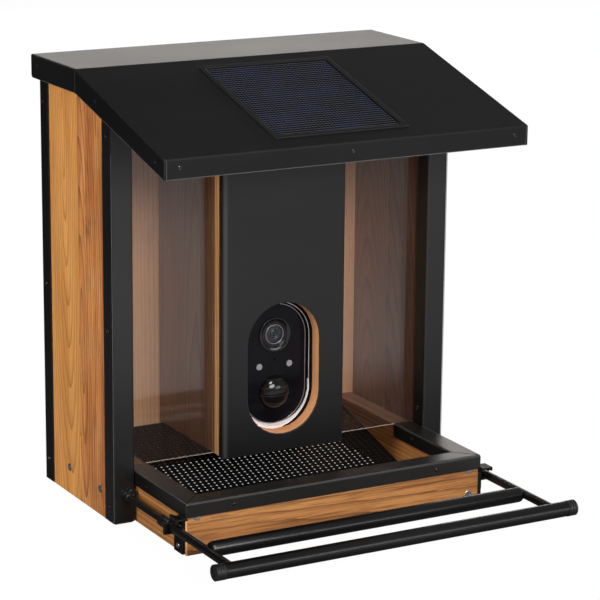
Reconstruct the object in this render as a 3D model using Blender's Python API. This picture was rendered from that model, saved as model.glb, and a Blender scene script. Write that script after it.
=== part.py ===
"""Smart bird feeder: a wooden seed store with tinted windows, a camera column, a seed tray,
a sliding perch and a hinged roof that carries a solar panel.

Metres, +Z up. The front faces -Y, and left and right are as seen from the front.
Sizes along Y start at the front face of the posts. One empty then carries the whole feeder,
so that the world's origin lies on the ground under the middle of the feeder's outline.
"""
import math

import bmesh
import bpy
from mathutils import Vector

# Stock, folds and fits
SHEET = 0.0008
BOARD = 0.015
FIT = 0.0003
BEND_RADIUS = 0.0006
BEND_STEPS = 3
EASED_EDGE = 0.0005
OVERRUN = 0.004
ROUND_STEPS = 24
SMALL_ROUND_STEPS = 16

# Housing
HALF_WIDTH = 0.1425
BACK_Y = 0.1273
TRIM_FLANGE = 0.0152
TRIM_BOTTOM_Z = 0.0011
WALL_SPLIT_Y = 0.0614

# Roof lid
ROOF_SIDE_REACH = 0.0061
ROOF_BACK_Y = 0.1289
RIDGE_Y = 0.0473
ROOF_FRONT_Y = -0.1002
ROOF_TOP_Z = 0.3358
ROOF_FRONT_DROP = 0.0409
ROOF_FLANGE = 0.0177
FASCIA = 0.0147
ROOF_EDGE_RADIUS = 0.0012
FLANGE_CLIP = 0.0027
LID_BOARD = 0.0117

# Solar panel, measured down the slope from the ridge and square to it
SOLAR_HALF_WIDTH = 0.0548
SOLAR_START = 0.0128
SOLAR_END = 0.1379
SOLAR_LIP = 0.0038
SOLAR_LIP_RISE = 0.0008
SOLAR_RECESS = 0.0016
SOLAR_DEPTH = 0.0047

# Roof hinges
HINGE_X = 0.068
HINGE_HALF_LENGTH = 0.012
HINGE_EYE_HALF_LENGTH = 0.004
HINGE_AXIS_DROP = 0.0178
HINGE_LEAF = 0.0016
HINGE_LEAF_LENGTH = 0.024
HINGE_LID_LEAF_LENGTH = 0.0155
HINGE_JOGGLE_LOW = 0.0105
HINGE_JOGGLE_HIGH = 0.0065
KNUCKLE_RADIUS = 0.0028
PIN_RADIUS = 0.0012
PIN_HEAD_RADIUS = 0.0021
PIN_HEAD = 0.0008

# Windows
PANE = 0.003
GROOVE_DEPTH = 0.004

# Camera column
COLUMN_MARGIN = 0.0214
COLUMN_WALL = 0.012
COLUMN_BOTTOM_Z = 0.0385
COLUMN_FLOOR = 0.013
COVER_TOP_DROP = 0.0278
COVER_RETURN = 0.0057
CUTOUT_HALF_WIDTH = 0.0309
CUTOUT_HALF_HEIGHT = 0.0515
CUTOUT_SILL = 0.0131

# Camera
CAMERA_GAP = 0.0013
FACE_INSET = 0.0035
RIM_PROUD = 0.0025
FACE_THICKNESS = 0.0012
RIM_WIDTH = 0.0008
SHELL_DEPTH = 0.0482
SHELL_WALL = 0.002
EAR_REACH = 0.0061
EAR_THICKNESS = 0.004
EAR_HALF_HEIGHT = 0.020
EAR_LAP = 0.0008
LENS_RISE = 0.0232
LENS_RING_RADIUS = 0.0133
LENS_RING_PROUD = 0.0009
LENS_RING_DEPTH = 0.0046
LENS_MOUTH_RADIUS = 0.0103
LENS_BORE_RADIUS = 0.0081
LENS_SINK = 0.0012
LENS_THICKNESS = 0.0024
LENS_EDGE = 0.0012
BARREL_RADIUS = 0.0095
BARREL_LENGTH = 0.012
LAMP_X = 0.0130
LAMP_DROP = 0.0012
LAMP_RADIUS = 0.0025
MICROPHONE_RISE = 0.0033
MICROPHONE_RADIUS = 0.0007
DOME_DROP = 0.0225
DOME_RADIUS = 0.0129
DOME_PROUD = 0.0072
DOME_RINGS = 6
CIRCUIT_SIDE_MARGIN = 0.0084
CIRCUIT_END_MARGIN = 0.015
CIRCUIT_THICKNESS = 0.0016
BATTERY_SIDE_MARGIN = 0.0124
BATTERY_DEPTH = 0.018
BATTERY_END_MARGIN = 0.0109
BATTERY_HEIGHT = 0.056
BATTERY_CORNER = 0.004
BUTTON_RISE = 0.0309
BUTTON_RADIUS = 0.004
BUTTON_PROUD = 0.0014
BUTTON_COLLAR_RADIUS = 0.0052
BUTTON_COLLAR = 0.0012

# Seed tray
TRAY_FRONT_Y = -0.0846
TRAY_TOP_Z = 0.040
TRAY_FLANGE = 0.011
FLOOR_SHEET = 0.001
FLOOR_FRONT_Z = 0.0025
FLOOR_POST_Z = 0.0078
FLOOR_RISE_SHARE = 0.26
SLOT_WIDTH = 0.003
SLOT_LENGTH = 0.0085
SLOT_PITCH_X = 0.0126
SLOT_PITCH_Y = 0.0122
FLOOR_MARGIN = 0.006

# Perch
PERCH_Z = 0.022
ARM_OFFSET = 0.0078
ARM_RADIUS = 0.0032
ARM_BORE_RADIUS = 0.0028
ARM_BACK_Y = -0.066
GUIDE_RADIUS = 0.0024
GUIDE_FRONT_Y = -0.082
GUIDE_FOOT_LENGTH = 0.0166
GUIDE_FOOT_HALF_WIDTH = 0.0036
GUIDE_FOOT_LOW_Z = 0.0185
GUIDE_FOOT_TOP_Z = 0.0258
BUSH_RADIUS = 0.0041
BUSH_BACK_Y = -0.061
BUSH_FRONT_Y = -0.0745
INNER_BAR_Y = -0.132
OUTER_BAR_Y = -0.175
BAR_RADIUS = 0.0057
BAR_CHAMFER = 0.0008
INNER_BAR_END_GAP = 0.0008
INNER_BAR_TENON_RADIUS = 0.003
OUTER_BAR_REACH = 0.0161
CAP_LENGTH = 0.0076
CAP_RADIUS = 0.0059
CAP_GROOVE_DEPTH = 0.0006
CAP_RIBS = 4

# Perch brackets on the sides of the tray
BRACKET_SHEET = 0.0018
BRACKET_FRONT_Y = -0.0832
BRACKET_FOOT_FRONT_Y = -0.0828
BRACKET_FOOT_BACK_Y = -0.0694
BRACKET_BACK_Y = -0.062
BRACKET_LOW_Z = 0.0015
BRACKET_STEP_Z = 0.0125
BRACKET_TOP_Z = 0.0258
EAR_PLATE_Y = -0.0766
EAR_PLATE = 0.0018
EAR_PLATE_MARGIN = 0.0022
TAB_FRONT_Y = -0.088
TAB_BACK_Y = -0.076
TAB_LOW_Z = 0.0284
TAB_SHEET = 0.0016
TAB_NOSE = 0.0014

# Sizes worked out from the ones above
WALL_OUTER_X = HALF_WIDTH - SHEET - FIT
WALL_INNER_X = WALL_OUTER_X - BOARD
POST_INNER_X = WALL_INNER_X - FIT - SHEET
WALL_FRONT_Y = SHEET + FIT
WALL_BACK_Y = BACK_Y - SHEET - FIT
BACK_PANEL_Y = WALL_BACK_Y - BOARD
ROOF_HALF_WIDTH = HALF_WIDTH + ROOF_SIDE_REACH
ROOF_FRONT_TOP_Z = ROOF_TOP_Z - ROOF_FRONT_DROP
ROOF_LINING = SHEET + FIT + LID_BOARD
WALL_TOP_DEPTH = ROOF_LINING + FIT
ROOF_SLOPE = math.atan2(ROOF_TOP_Z - ROOF_FRONT_TOP_Z, RIDGE_Y - ROOF_FRONT_Y)
TRAY_OUTER_X = POST_INNER_X - FIT
TRAY_BOARD_X = TRAY_OUTER_X - SHEET - FIT
ARM_X = TRAY_OUTER_X + ARM_OFFSET
INNER_BAR_HALF_LENGTH = ARM_X - ARM_RADIUS - INNER_BAR_END_GAP
OUTER_BAR_HALF_LENGTH = ARM_X + OUTER_BAR_REACH
TRAY_INNER_X = TRAY_BOARD_X - BOARD
TRAY_RIM_WIDTH = BOARD + SHEET + SHEET + FIT + FIT
TRAY_BOARD_TOP_Z = TRAY_TOP_Z - SHEET - FIT
TRAY_BOARD_FRONT_Y = TRAY_FRONT_Y + SHEET + FIT
TRAY_BOARD_BACK_Y = TRAY_BOARD_FRONT_Y + BOARD
PANE_FRONT_Y = TRIM_FLANGE + FIT
PANE_BACK_Y = PANE_FRONT_Y + PANE
PANE_BOTTOM_Z = TRAY_BOARD_TOP_Z + FIT
CUTOUT_Z = COLUMN_BOTTOM_Z + CUTOUT_SILL + CUTOUT_HALF_HEIGHT
COLUMN_HALF_WIDTH = CUTOUT_HALF_WIDTH + COLUMN_MARGIN
COLUMN_OUTER_X = COLUMN_HALF_WIDTH - SHEET - FIT
COLUMN_INNER_X = COLUMN_OUTER_X - COLUMN_WALL
COLUMN_FRONT_BACK_Y = WALL_FRONT_Y + BOARD
COVER_TOP_Z = ROOF_TOP_Z - COVER_TOP_DROP
HINGE_AXIS_Y = ROOF_BACK_Y + FIT + KNUCKLE_RADIUS
HINGE_AXIS_Z = ROOF_TOP_Z - HINGE_AXIS_DROP
PIN_BORE_RADIUS = PIN_RADIUS + FIT
SHELL_FRONT_Y = COLUMN_FRONT_BACK_Y + FIT
FACE_BACK_Y = SHELL_FRONT_Y - FIT
CAMERA_FACE_Y = FACE_BACK_Y - FACE_THICKNESS
SHELL_BACK_Y = SHELL_FRONT_Y + SHELL_DEPTH
CAMERA_HALF_WIDTH = CUTOUT_HALF_WIDTH - CAMERA_GAP
CAMERA_HALF_HEIGHT = CUTOUT_HALF_HEIGHT - CAMERA_GAP
LENS_Z = CUTOUT_Z + LENS_RISE
LAMP_Z = CUTOUT_Z - LAMP_DROP
MICROPHONE_Z = CUTOUT_Z + MICROPHONE_RISE
DOME_Z = CUTOUT_Z - DOME_DROP
BUTTON_Z = CUTOUT_Z + BUTTON_RISE
BUSH_BORE_RADIUS = ARM_RADIUS + FIT
FEEDER_FRONT_Y = OUTER_BAR_Y - CAP_RADIUS
FEEDER_BACK_Y = HINGE_AXIS_Y + KNUCKLE_RADIUS


def clear_scene():
    for item in list(bpy.data.objects):
        bpy.data.objects.remove(item, do_unlink=True)


def look(name, colour, roughness, metallic=0.0, alpha=1.0):
    """A Principled material in the photographed colour."""
    material = bpy.data.materials.new(name)
    material.use_nodes = True
    shader = material.node_tree.nodes["Principled BSDF"]
    shader.inputs["Base Color"].default_value = (*colour, 1.0)
    shader.inputs["Roughness"].default_value = roughness
    shader.inputs["Metallic"].default_value = metallic
    shader.inputs["Alpha"].default_value = alpha
    material.diffuse_color = (*colour, alpha)
    return material


def make_looks():
    return {
        "pale_wood": look("pale_wood", (0.52, 0.27, 0.10), 0.55),
        "warm_wood": look("warm_wood", (0.42, 0.19, 0.07), 0.50),
        "black_sheet": look("black_sheet", (0.012, 0.012, 0.013), 0.42, 0.3),
        "window": look("window", (0.50, 0.33, 0.26), 0.06, 0.0, 0.35),
        "gloss_black": look("gloss_black", (0.006, 0.006, 0.007), 0.08),
        "shell_black": look("shell_black", (0.015, 0.015, 0.016), 0.38),
        "chrome": look("chrome", (0.80, 0.80, 0.82), 0.12, 1.0),
        "lens": look("lens", (0.02, 0.02, 0.03), 0.03),
        "lamp": look("lamp", (0.35, 0.34, 0.36), 0.20),
        "dome": look("dome", (0.012, 0.012, 0.014), 0.12),
        "circuit": look("circuit", (0.02, 0.16, 0.07), 0.45),
        "battery": look("battery", (0.05, 0.20, 0.45), 0.40),
        "steel": look("steel", (0.60, 0.60, 0.62), 0.28, 1.0),
        "bush_black": look("bush_black", (0.015, 0.015, 0.015), 0.5),
        "solar_cells": look("solar_cells", (0.02, 0.025, 0.07), 0.22),
    }


# Groups: each rigid body rides on one empty, and a moving one's empty lies on its joint's axis

def add_group(name, place, carrier=None):
    group = bpy.data.objects.new(name, None)
    bpy.context.scene.collection.objects.link(group)
    group.empty_display_size = BOARD
    group.parent = carrier
    group.location = place
    return group


def make_groups():
    middle = (FEEDER_FRONT_Y + FEEDER_BACK_Y) / 2
    feeder = add_group("feeder_origin", (0, -middle, 0))
    return {
        "housing": add_group("housing_frame", (0, 0, 0), feeder),
        "lid": add_group("lid_axis", (0, HINGE_AXIS_Y, HINGE_AXIS_Z), feeder),
        "perch": add_group("perch_axis", (0, INNER_BAR_Y, PERCH_Z), feeder),
        "button": add_group("button_axis", (0, SHELL_BACK_Y, BUTTON_Z), feeder),
    }


# Flat outlines

def arc(centre, radius, start, end, steps):
    """Points along an arc, both ends included."""
    points = []
    for step in range(steps + 1):
        angle = start + (end - start) * step / steps
        points.append((centre[0] + radius * math.cos(angle), centre[1] + radius * math.sin(angle)))
    return points


def stadium(half_width, half_height, centre_z, steps=SMALL_ROUND_STEPS):
    """Upright slot outline: two half circles joined by straight sides."""
    rise = half_height - half_width
    top = arc((0, centre_z + rise), half_width, 0, math.pi, steps)
    bottom = arc((0, centre_z - rise), half_width, math.pi, 2 * math.pi, steps)
    return top + bottom


def folded_strip(corners, thickness=SHEET):
    """Outline of a folded sheet. Its outer face runs through the corners, and it folds inwards."""
    points = [Vector(corner) for corner in corners]
    headings = [(after - before).normalized() for before, after in zip(points, points[1:])]
    turn = math.copysign(1, headings[0].cross(headings[1]))
    inwards = [Vector((-turn * heading.y, turn * heading.x)) for heading in headings]
    outer = [points[0]]
    inner = [points[0] + inwards[0] * thickness]
    for corner, before, after in zip(points[1:-1], inwards, inwards[1:]):
        radius = BEND_RADIUS + thickness
        centre = corner + (before + after) * (radius / (1 + before.dot(after)))
        for step in range(BEND_STEPS + 1):
            spoke = before.slerp(after, step / BEND_STEPS)
            outer.append(centre - spoke * radius)
            inner.append(centre - spoke * BEND_RADIUS)
    outer.append(points[-1])
    inner.append(points[-1] + inwards[-1] * thickness)
    return [tuple(point) for point in outer + inner[::-1]]


# Solids

def prism(outline, axis, low, high):
    """Closed prism: an outline in the two other axes, in X, Y, Z order, run along one axis."""
    def corner(point, along):
        if axis == "X":
            return (along, point[0], point[1])
        if axis == "Y":
            return (point[0], along, point[1])
        return (point[0], point[1], along)

    solid = bmesh.new()
    near = [solid.verts.new(corner(point, low)) for point in outline]
    far = [solid.verts.new(corner(point, high)) for point in outline]
    solid.faces.new(near)
    solid.faces.new(far[::-1])
    for index in range(len(outline)):
        after = (index + 1) % len(outline)
        solid.faces.new((near[index], near[after], far[after], far[index]))
    return solid


def loft(stations):
    """Closed solid through outlines in Y and Z with as many points, each at its place along X."""
    solid = bmesh.new()
    loops = []
    for along, outline in stations:
        loops.append([solid.verts.new((along, y, z)) for y, z in outline])
    solid.faces.new(loops[0])
    solid.faces.new(loops[-1][::-1])
    for near, far in zip(loops, loops[1:]):
        for index in range(len(near)):
            after = (index + 1) % len(near)
            solid.faces.new((near[index], near[after], far[after], far[index]))
    return solid


def block(x_span, y_span, z_span):
    low_x, high_x = sorted(x_span)
    outline = [(low_x, y_span[0]), (high_x, y_span[0]), (high_x, y_span[1]), (low_x, y_span[1])]
    return prism(outline, "Z", z_span[0], z_span[1])


def ring_prism(outer, inner, outer_y, inner_y, high_y):
    """Ring between two outlines with as many points. Its front leans from the outer outline's
    place along Y to the inner one's, and its back is flat."""
    solid = bmesh.new()
    loops = []
    for outline, y in ((outer, outer_y), (inner, inner_y), (inner, high_y), (outer, high_y)):
        loops.append([solid.verts.new((x, y, z)) for x, z in outline])
    count = len(outer)
    for index in range(count):
        after = (index + 1) % count
        for loop, following in zip(loops, loops[1:] + loops[:1]):
            solid.faces.new((loop[index], loop[after], following[after], following[index]))
    return solid


def revolve(profile, axis, centre, bored=False, steps=ROUND_STEPS):
    """Turned solid about X or Y. The profile lists (place along the axis, radius), and a bored
    one closes on itself round the bore. A radius of zero makes a tip."""
    solid = bmesh.new()

    def corner(along, radius, angle):
        across = radius * math.cos(angle)
        up = radius * math.sin(angle)
        if axis == "X":
            return (along, centre[0] + across, centre[1] + up)
        return (centre[0] + across, along, centre[1] + up)

    rings = []
    for along, radius in profile:
        if radius == 0:
            rings.append([solid.verts.new(corner(along, 0, 0))] * steps)
        else:
            angles = [2 * math.pi * step / steps for step in range(steps)]
            rings.append([solid.verts.new(corner(along, radius, angle)) for angle in angles])
    pairs = list(zip(rings, rings[1:]))
    if bored:
        pairs.append((rings[-1], rings[0]))
    for ring, following in pairs:
        for step in range(steps):
            after = (step + 1) % steps
            face = [ring[step], ring[after], following[after], following[step]]
            solid.faces.new(list(dict.fromkeys(face)))
    if not bored:
        for end in (rings[0], rings[-1]):
            if end[0] is not end[1]:
                solid.faces.new(end)
    return solid


def tube(axis, centre, radius, bore, low, high, steps=SMALL_ROUND_STEPS):
    profile = [(low, radius), (high, radius), (high, bore), (low, bore)]
    return revolve(profile, axis, centre, True, steps)


def rod(axis, centre, radius, low, high, steps=SMALL_ROUND_STEPS):
    return revolve([(low, radius), (high, radius)], axis, centre, False, steps)


def ease_edges(solid):
    bmesh.ops.bevel(solid, geom=solid.edges[:], offset=EASED_EDGE, segments=1, affect="EDGES")
    return solid


# Pieces

def new_object(name, solid, group):
    """Links a solid as an object whose origin is the middle of its box, riding on its group."""
    bmesh.ops.recalc_face_normals(solid, faces=solid.faces[:])
    places = [vert.co for vert in solid.verts]
    low = Vector([min(place[axis] for place in places) for axis in range(3)])
    high = Vector([max(place[axis] for place in places) for axis in range(3)])
    middle = (low + high) / 2
    bmesh.ops.translate(solid, verts=solid.verts[:], vec=-middle)
    mesh = bpy.data.meshes.new(name)
    solid.to_mesh(mesh)
    solid.free()
    item = bpy.data.objects.new(name, mesh)
    bpy.context.scene.collection.objects.link(item)
    item.parent = group
    item.location = middle - group.location
    return item


def add_piece(name, solid, material, group, round_piece=False):
    piece = new_object(name, solid, group)
    piece.data.materials.append(material)
    if round_piece:
        piece.data.shade_smooth()
        piece.data.set_sharp_from_angle(angle=math.radians(35))
    return piece


def combine(piece, operation, solid, tilt=0.0, hub=None):
    """Cuts a solid out of a piece, or joins it on. A tilted one turns about a hub along X."""
    tool = new_object(f"{piece.name}_tool", solid, piece.parent)
    if hub is not None:
        lean_on_slope(tool, hub, tilt)
    tool.hide_render = True
    tool.display_type = "WIRE"
    step = piece.modifiers.new(operation.title(), "BOOLEAN")
    step.operation = operation
    step.solver = "EXACT"
    step.object = tool


def cut(piece, solid, tilt=0.0, hub=None):
    combine(piece, "DIFFERENCE", solid, tilt, hub)


def join(piece, solid):
    combine(piece, "UNION", solid)


def lean_on_slope(item, hub, tilt):
    """Turns an object modelled flat about the hub, so that it lies along the roof's slope."""
    away = item.location + item.parent.location - Vector(hub)
    lifted = Vector((away.x, away.y * math.cos(tilt) - away.z * math.sin(tilt),
                     away.y * math.sin(tilt) + away.z * math.cos(tilt)))
    item.location = Vector(hub) + lifted - item.parent.location
    item.rotation_euler = (tilt, 0, 0)


def sides():
    return (("left", -1), ("right", 1))


# Roof heights

def flat_height(depth):
    """Height of a plane that lies a depth under the flat rear part of the roof."""
    return ROOF_TOP_Z - depth


def slope_height(y, depth):
    """Height at y of a plane that lies a depth, square to the slope, under the front part."""
    return ROOF_TOP_Z - (RIDGE_Y - y) * math.tan(ROOF_SLOPE) - depth / math.cos(ROOF_SLOPE)


def crease_y(depth):
    """Where the planes at one depth under the two parts of the roof meet."""
    return RIDGE_Y + depth * (1 / math.cos(ROOF_SLOPE) - 1) / math.tan(ROOF_SLOPE)


def wall_outline(front_y, back_y, bottom_z, depth=WALL_TOP_DEPTH):
    """Outline in Y and Z of an upright board whose top follows the underside of the lid."""
    crease = crease_y(depth)
    top = []
    for y in (back_y, crease, front_y):
        if y == crease and not front_y < crease < back_y:
            continue
        top.append((y, min(flat_height(depth), slope_height(y, depth))))
    return [(front_y, bottom_z), (back_y, bottom_z)] + top


# Housing

def make_side_walls(looks, group):
    """Each side wall is a darker front board and a paler rear board, with a groove for a window."""
    for side_name, side in sides():
        span = sorted((side * WALL_INNER_X, side * WALL_OUTER_X))
        rear = wall_outline(WALL_SPLIT_Y + FIT / 2, WALL_BACK_Y, 0)
        front = wall_outline(WALL_FRONT_Y, WALL_SPLIT_Y - FIT / 2, 0)
        add_piece(f"side_panel_rear_{side_name}", ease_edges(prism(rear, "X", *span)),
                  looks["pale_wood"], group)
        panel = add_piece(f"side_panel_front_{side_name}", ease_edges(prism(front, "X", *span)),
                          looks["warm_wood"], group)
        groove_end = side * (WALL_INNER_X + GROOVE_DEPTH + FIT)
        cut(panel, pane_groove(side * (WALL_INNER_X - OVERRUN), groove_end))


def pane_groove(start_x, end_x):
    y_span = (PANE_FRONT_Y - FIT, PANE_BACK_Y + FIT)
    return block((start_x, end_x), y_span, (PANE_BOTTOM_Z - FIT, ROOF_TOP_Z))


def make_back_panel(looks, group):
    outline = wall_outline(BACK_PANEL_Y, WALL_BACK_Y, 0)
    solid = ease_edges(prism(outline, "X", FIT - WALL_INNER_X, WALL_INNER_X - FIT))
    add_piece("back_panel", solid, looks["pale_wood"], group)


def make_corner_trims(looks, group):
    """Folded angles on the rear corners, and folded channels round the walls' front edges."""
    top = flat_height(WALL_TOP_DEPTH)
    post_top = slope_height(0, WALL_TOP_DEPTH)
    for side_name, side in sides():
        angle = [(side * HALF_WIDTH, BACK_Y - TRIM_FLANGE), (side * HALF_WIDTH, BACK_Y),
                 (side * (HALF_WIDTH - TRIM_FLANGE), BACK_Y)]
        add_piece(f"rear_corner_trim_{side_name}",
                  prism(folded_strip(angle), "Z", TRIM_BOTTOM_Z, top),
                  looks["black_sheet"], group)
        channel = [(side * HALF_WIDTH, TRIM_FLANGE), (side * HALF_WIDTH, 0),
                   (side * POST_INNER_X, 0), (side * POST_INNER_X, TRIM_FLANGE)]
        add_piece(f"front_post_channel_{side_name}",
                  prism(folded_strip(channel), "Z", TRIM_BOTTOM_Z, post_top),
                  looks["black_sheet"], group)


def make_windows(looks, group):
    """Each window slides down grooves in the side wall and the column, onto the tray's sides."""
    reach = GROOVE_DEPTH
    outline = wall_outline(PANE_FRONT_Y, PANE_BACK_Y, PANE_BOTTOM_Z)
    for side_name, side in sides():
        span = sorted((side * (COLUMN_OUTER_X - reach), side * (WALL_INNER_X + reach)))
        add_piece(f"window_{side_name}", prism(outline, "X", *span), looks["window"], group)


# Camera column

def make_column(looks, group):
    """Wooden box from the front to the back wall, closed in front by a board with a cut-out."""
    wall = wall_outline(WALL_FRONT_Y, BACK_PANEL_Y - FIT, COLUMN_BOTTOM_Z)
    for side_name, side in sides():
        span = sorted((side * COLUMN_INNER_X, side * COLUMN_OUTER_X))
        panel = add_piece(f"column_wall_{side_name}", ease_edges(prism(wall, "X", *span)),
                          looks["pale_wood"], group)
        groove_end = side * (COLUMN_OUTER_X - GROOVE_DEPTH - FIT)
        cut(panel, pane_groove(side * (COLUMN_OUTER_X + OVERRUN), groove_end))
    between = COLUMN_INNER_X - FIT
    face = wall_outline(WALL_FRONT_Y, COLUMN_FRONT_BACK_Y, COLUMN_BOTTOM_Z)
    front = add_piece("column_front_board", prism(face, "X", -between, between),
                      looks["warm_wood"], group)
    cut(front, cutout_solid(WALL_FRONT_Y - OVERRUN, COLUMN_FRONT_BACK_Y + OVERRUN))
    floor = block((-between, between), (COLUMN_FRONT_BACK_Y + FIT, BACK_PANEL_Y - FIT),
                  (COLUMN_BOTTOM_Z, COLUMN_BOTTOM_Z + COLUMN_FLOOR))
    add_piece("column_floor_board", ease_edges(floor), looks["pale_wood"], group)


def cutout_solid(low_y, high_y):
    outline = stadium(CUTOUT_HALF_WIDTH, CUTOUT_HALF_HEIGHT, CUTOUT_Z)
    return prism(outline, "Y", low_y, high_y)


def make_column_cover(looks, group):
    """Sheet cover with two folded returns and the same long round-ended cut-out."""
    corners = [(-COLUMN_HALF_WIDTH, COVER_RETURN), (-COLUMN_HALF_WIDTH, 0),
               (COLUMN_HALF_WIDTH, 0), (COLUMN_HALF_WIDTH, COVER_RETURN)]
    cover = add_piece("column_cover", prism(folded_strip(corners), "Z", COLUMN_BOTTOM_Z, COVER_TOP_Z),
                      looks["black_sheet"], group)
    cut(cover, cutout_solid(-OVERRUN, SHEET + FIT))


# Camera

def face_stadium(inset):
    """Camera front outline, drawn in from the camera's rim by an inset."""
    return stadium(CAMERA_HALF_WIDTH - inset, CAMERA_HALF_HEIGHT - inset, CUTOUT_Z)


def make_camera_rims(looks, group):
    """Bright outer rim ahead of the face, black bevel that slopes in, and bright inner rim."""
    lip = CAMERA_FACE_Y - RIM_PROUD
    inner_rim = FACE_INSET - FIT - RIM_WIDTH
    bevel = RIM_WIDTH + FIT
    rims = (("camera_rim_outer", 0, RIM_WIDTH, lip, lip, "chrome"),
            ("camera_bevel", bevel, inner_rim - FIT, lip, CAMERA_FACE_Y, "gloss_black"),
            ("camera_rim_inner", inner_rim, FACE_INSET - FIT, CAMERA_FACE_Y, CAMERA_FACE_Y, "chrome"))
    for name, outer, inner, outer_y, inner_y, finish in rims:
        solid = ring_prism(face_stadium(outer), face_stadium(inner), outer_y, inner_y, FACE_BACK_Y)
        add_piece(name, solid, looks[finish], group, True)


def make_camera_face(looks, group):
    outline = face_stadium(FACE_INSET)
    face = add_piece("camera_face", prism(outline, "Y", CAMERA_FACE_Y, FACE_BACK_Y),
                     looks["gloss_black"], group, True)
    through = (CAMERA_FACE_Y - OVERRUN, FACE_BACK_Y + OVERRUN)
    cut(face, rod("Y", (0, LENS_Z), LENS_RING_RADIUS + FIT, *through, ROUND_STEPS))
    cut(face, rod("Y", (0, DOME_Z), DOME_RADIUS + FIT, *through, ROUND_STEPS))
    for side in (-1, 1):
        cut(face, rod("Y", (side * LAMP_X, LAMP_Z), LAMP_RADIUS + FIT, *through))
    cut(face, rod("Y", (0, MICROPHONE_Z), MICROPHONE_RADIUS, *through, 8))


def make_lens(looks, group):
    """Stepped funnel ring, a domed lens in its bore, and the barrel behind it."""
    front = CAMERA_FACE_Y - LENS_RING_PROUD
    back = front + LENS_RING_DEPTH
    lip = LENS_RING_RADIUS - RIM_WIDTH
    funnel = [(front, LENS_RING_RADIUS), (back, LENS_RING_RADIUS), (back, LENS_BORE_RADIUS),
              (front + LENS_RING_DEPTH / 2, LENS_BORE_RADIUS),
              (front + RIM_WIDTH, LENS_MOUTH_RADIUS), (front, lip)]
    add_piece("lens_ring", revolve(funnel, "Y", (0, LENS_Z), True), looks["gloss_black"], group, True)
    radius = LENS_BORE_RADIUS - FIT
    lens_front = front + LENS_SINK
    lens_back = back - FIT
    glass = [(lens_front, 0)]
    for ring in range(1, DOME_RINGS):
        share = ring / (DOME_RINGS - 1)
        sag = (LENS_THICKNESS - LENS_EDGE) * (1 - math.cos(share * math.pi / 2))
        glass.append((lens_front + sag, radius * math.sin(share * math.pi / 2)))
    glass.append((lens_back, radius))
    add_piece("lens_glass", revolve(glass, "Y", (0, LENS_Z)), looks["lens"], group, True)
    barrel = rod("Y", (0, LENS_Z), BARREL_RADIUS, back + FIT, back + BARREL_LENGTH, ROUND_STEPS)
    add_piece("lens_barrel", barrel, looks["shell_black"], group, True)


def make_sensors(looks, group):
    """Two lamp windows beside the microphone hole, and the domed motion sensor under them."""
    for side_name, side in sides():
        lamp = rod("Y", (side * LAMP_X, LAMP_Z), LAMP_RADIUS, CAMERA_FACE_Y, FACE_BACK_Y)
        add_piece(f"lamp_window_{side_name}", lamp, looks["lamp"], group, True)
    dome = [(CAMERA_FACE_Y - DOME_PROUD, 0)]
    for ring in range(1, DOME_RINGS + 1):
        angle = ring / DOME_RINGS * math.pi / 2
        dome.append((CAMERA_FACE_Y - DOME_PROUD * math.cos(angle), DOME_RADIUS * math.sin(angle)))
    dome.append((FACE_BACK_Y, DOME_RADIUS))
    add_piece("motion_sensor_dome", revolve(dome, "Y", (0, DOME_Z)), looks["dome"], group, True)


def make_camera_shell(looks, group):
    """Cup behind the face, with an ear on each side that rests on the back of the front board."""
    outer = stadium(CAMERA_HALF_WIDTH, CAMERA_HALF_HEIGHT, CUTOUT_Z)
    inner = face_stadium(SHELL_WALL)
    shell = add_piece("camera_shell", prism(outer, "Y", SHELL_FRONT_Y, SHELL_BACK_Y),
                      looks["shell_black"], group, True)
    root = CAMERA_HALF_WIDTH - EAR_LAP
    for side in (-1, 1):
        ear = block((side * root, side * (CAMERA_HALF_WIDTH + EAR_REACH)),
                    (SHELL_FRONT_Y, SHELL_FRONT_Y + EAR_THICKNESS),
                    (CUTOUT_Z - EAR_HALF_HEIGHT, CUTOUT_Z + EAR_HALF_HEIGHT))
        join(shell, ear)
    cut(shell, prism(inner, "Y", SHELL_FRONT_Y - OVERRUN, SHELL_BACK_Y - SHELL_WALL))
    hole = rod("Y", (0, BUTTON_Z), BUTTON_RADIUS + FIT, SHELL_BACK_Y - SHELL_WALL - OVERRUN,
               SHELL_BACK_Y + OVERRUN)
    cut(shell, hole)


def make_camera_inside(looks, group):
    """Circuit board on the back of the lens barrel, and the battery against the rear wall."""
    barrel_back = CAMERA_FACE_Y - LENS_RING_PROUD + LENS_RING_DEPTH + BARREL_LENGTH
    board_front = barrel_back + FIT
    board_half = CAMERA_HALF_WIDTH - CIRCUIT_SIDE_MARGIN
    board_rise = CAMERA_HALF_HEIGHT - CIRCUIT_END_MARGIN
    circuit = block((-board_half, board_half), (board_front, board_front + CIRCUIT_THICKNESS),
                    (CUTOUT_Z - board_rise, CUTOUT_Z + board_rise))
    add_piece("circuit_board", circuit, looks["circuit"], group)
    battery_back = SHELL_BACK_Y - SHELL_WALL - FIT
    battery_half = CAMERA_HALF_WIDTH - BATTERY_SIDE_MARGIN
    battery_low = CUTOUT_Z - CAMERA_HALF_HEIGHT + BATTERY_END_MARGIN
    battery = block((-battery_half, battery_half), (battery_back - BATTERY_DEPTH, battery_back),
                    (battery_low, battery_low + BATTERY_HEIGHT))
    upright = [edge for edge in battery.edges
               if abs(edge.verts[0].co.z - edge.verts[1].co.z) > BATTERY_HEIGHT / 2]
    bmesh.ops.bevel(battery, geom=upright, offset=BATTERY_CORNER, segments=3, affect="EDGES")
    add_piece("battery_pack", battery, looks["battery"], group)


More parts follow.
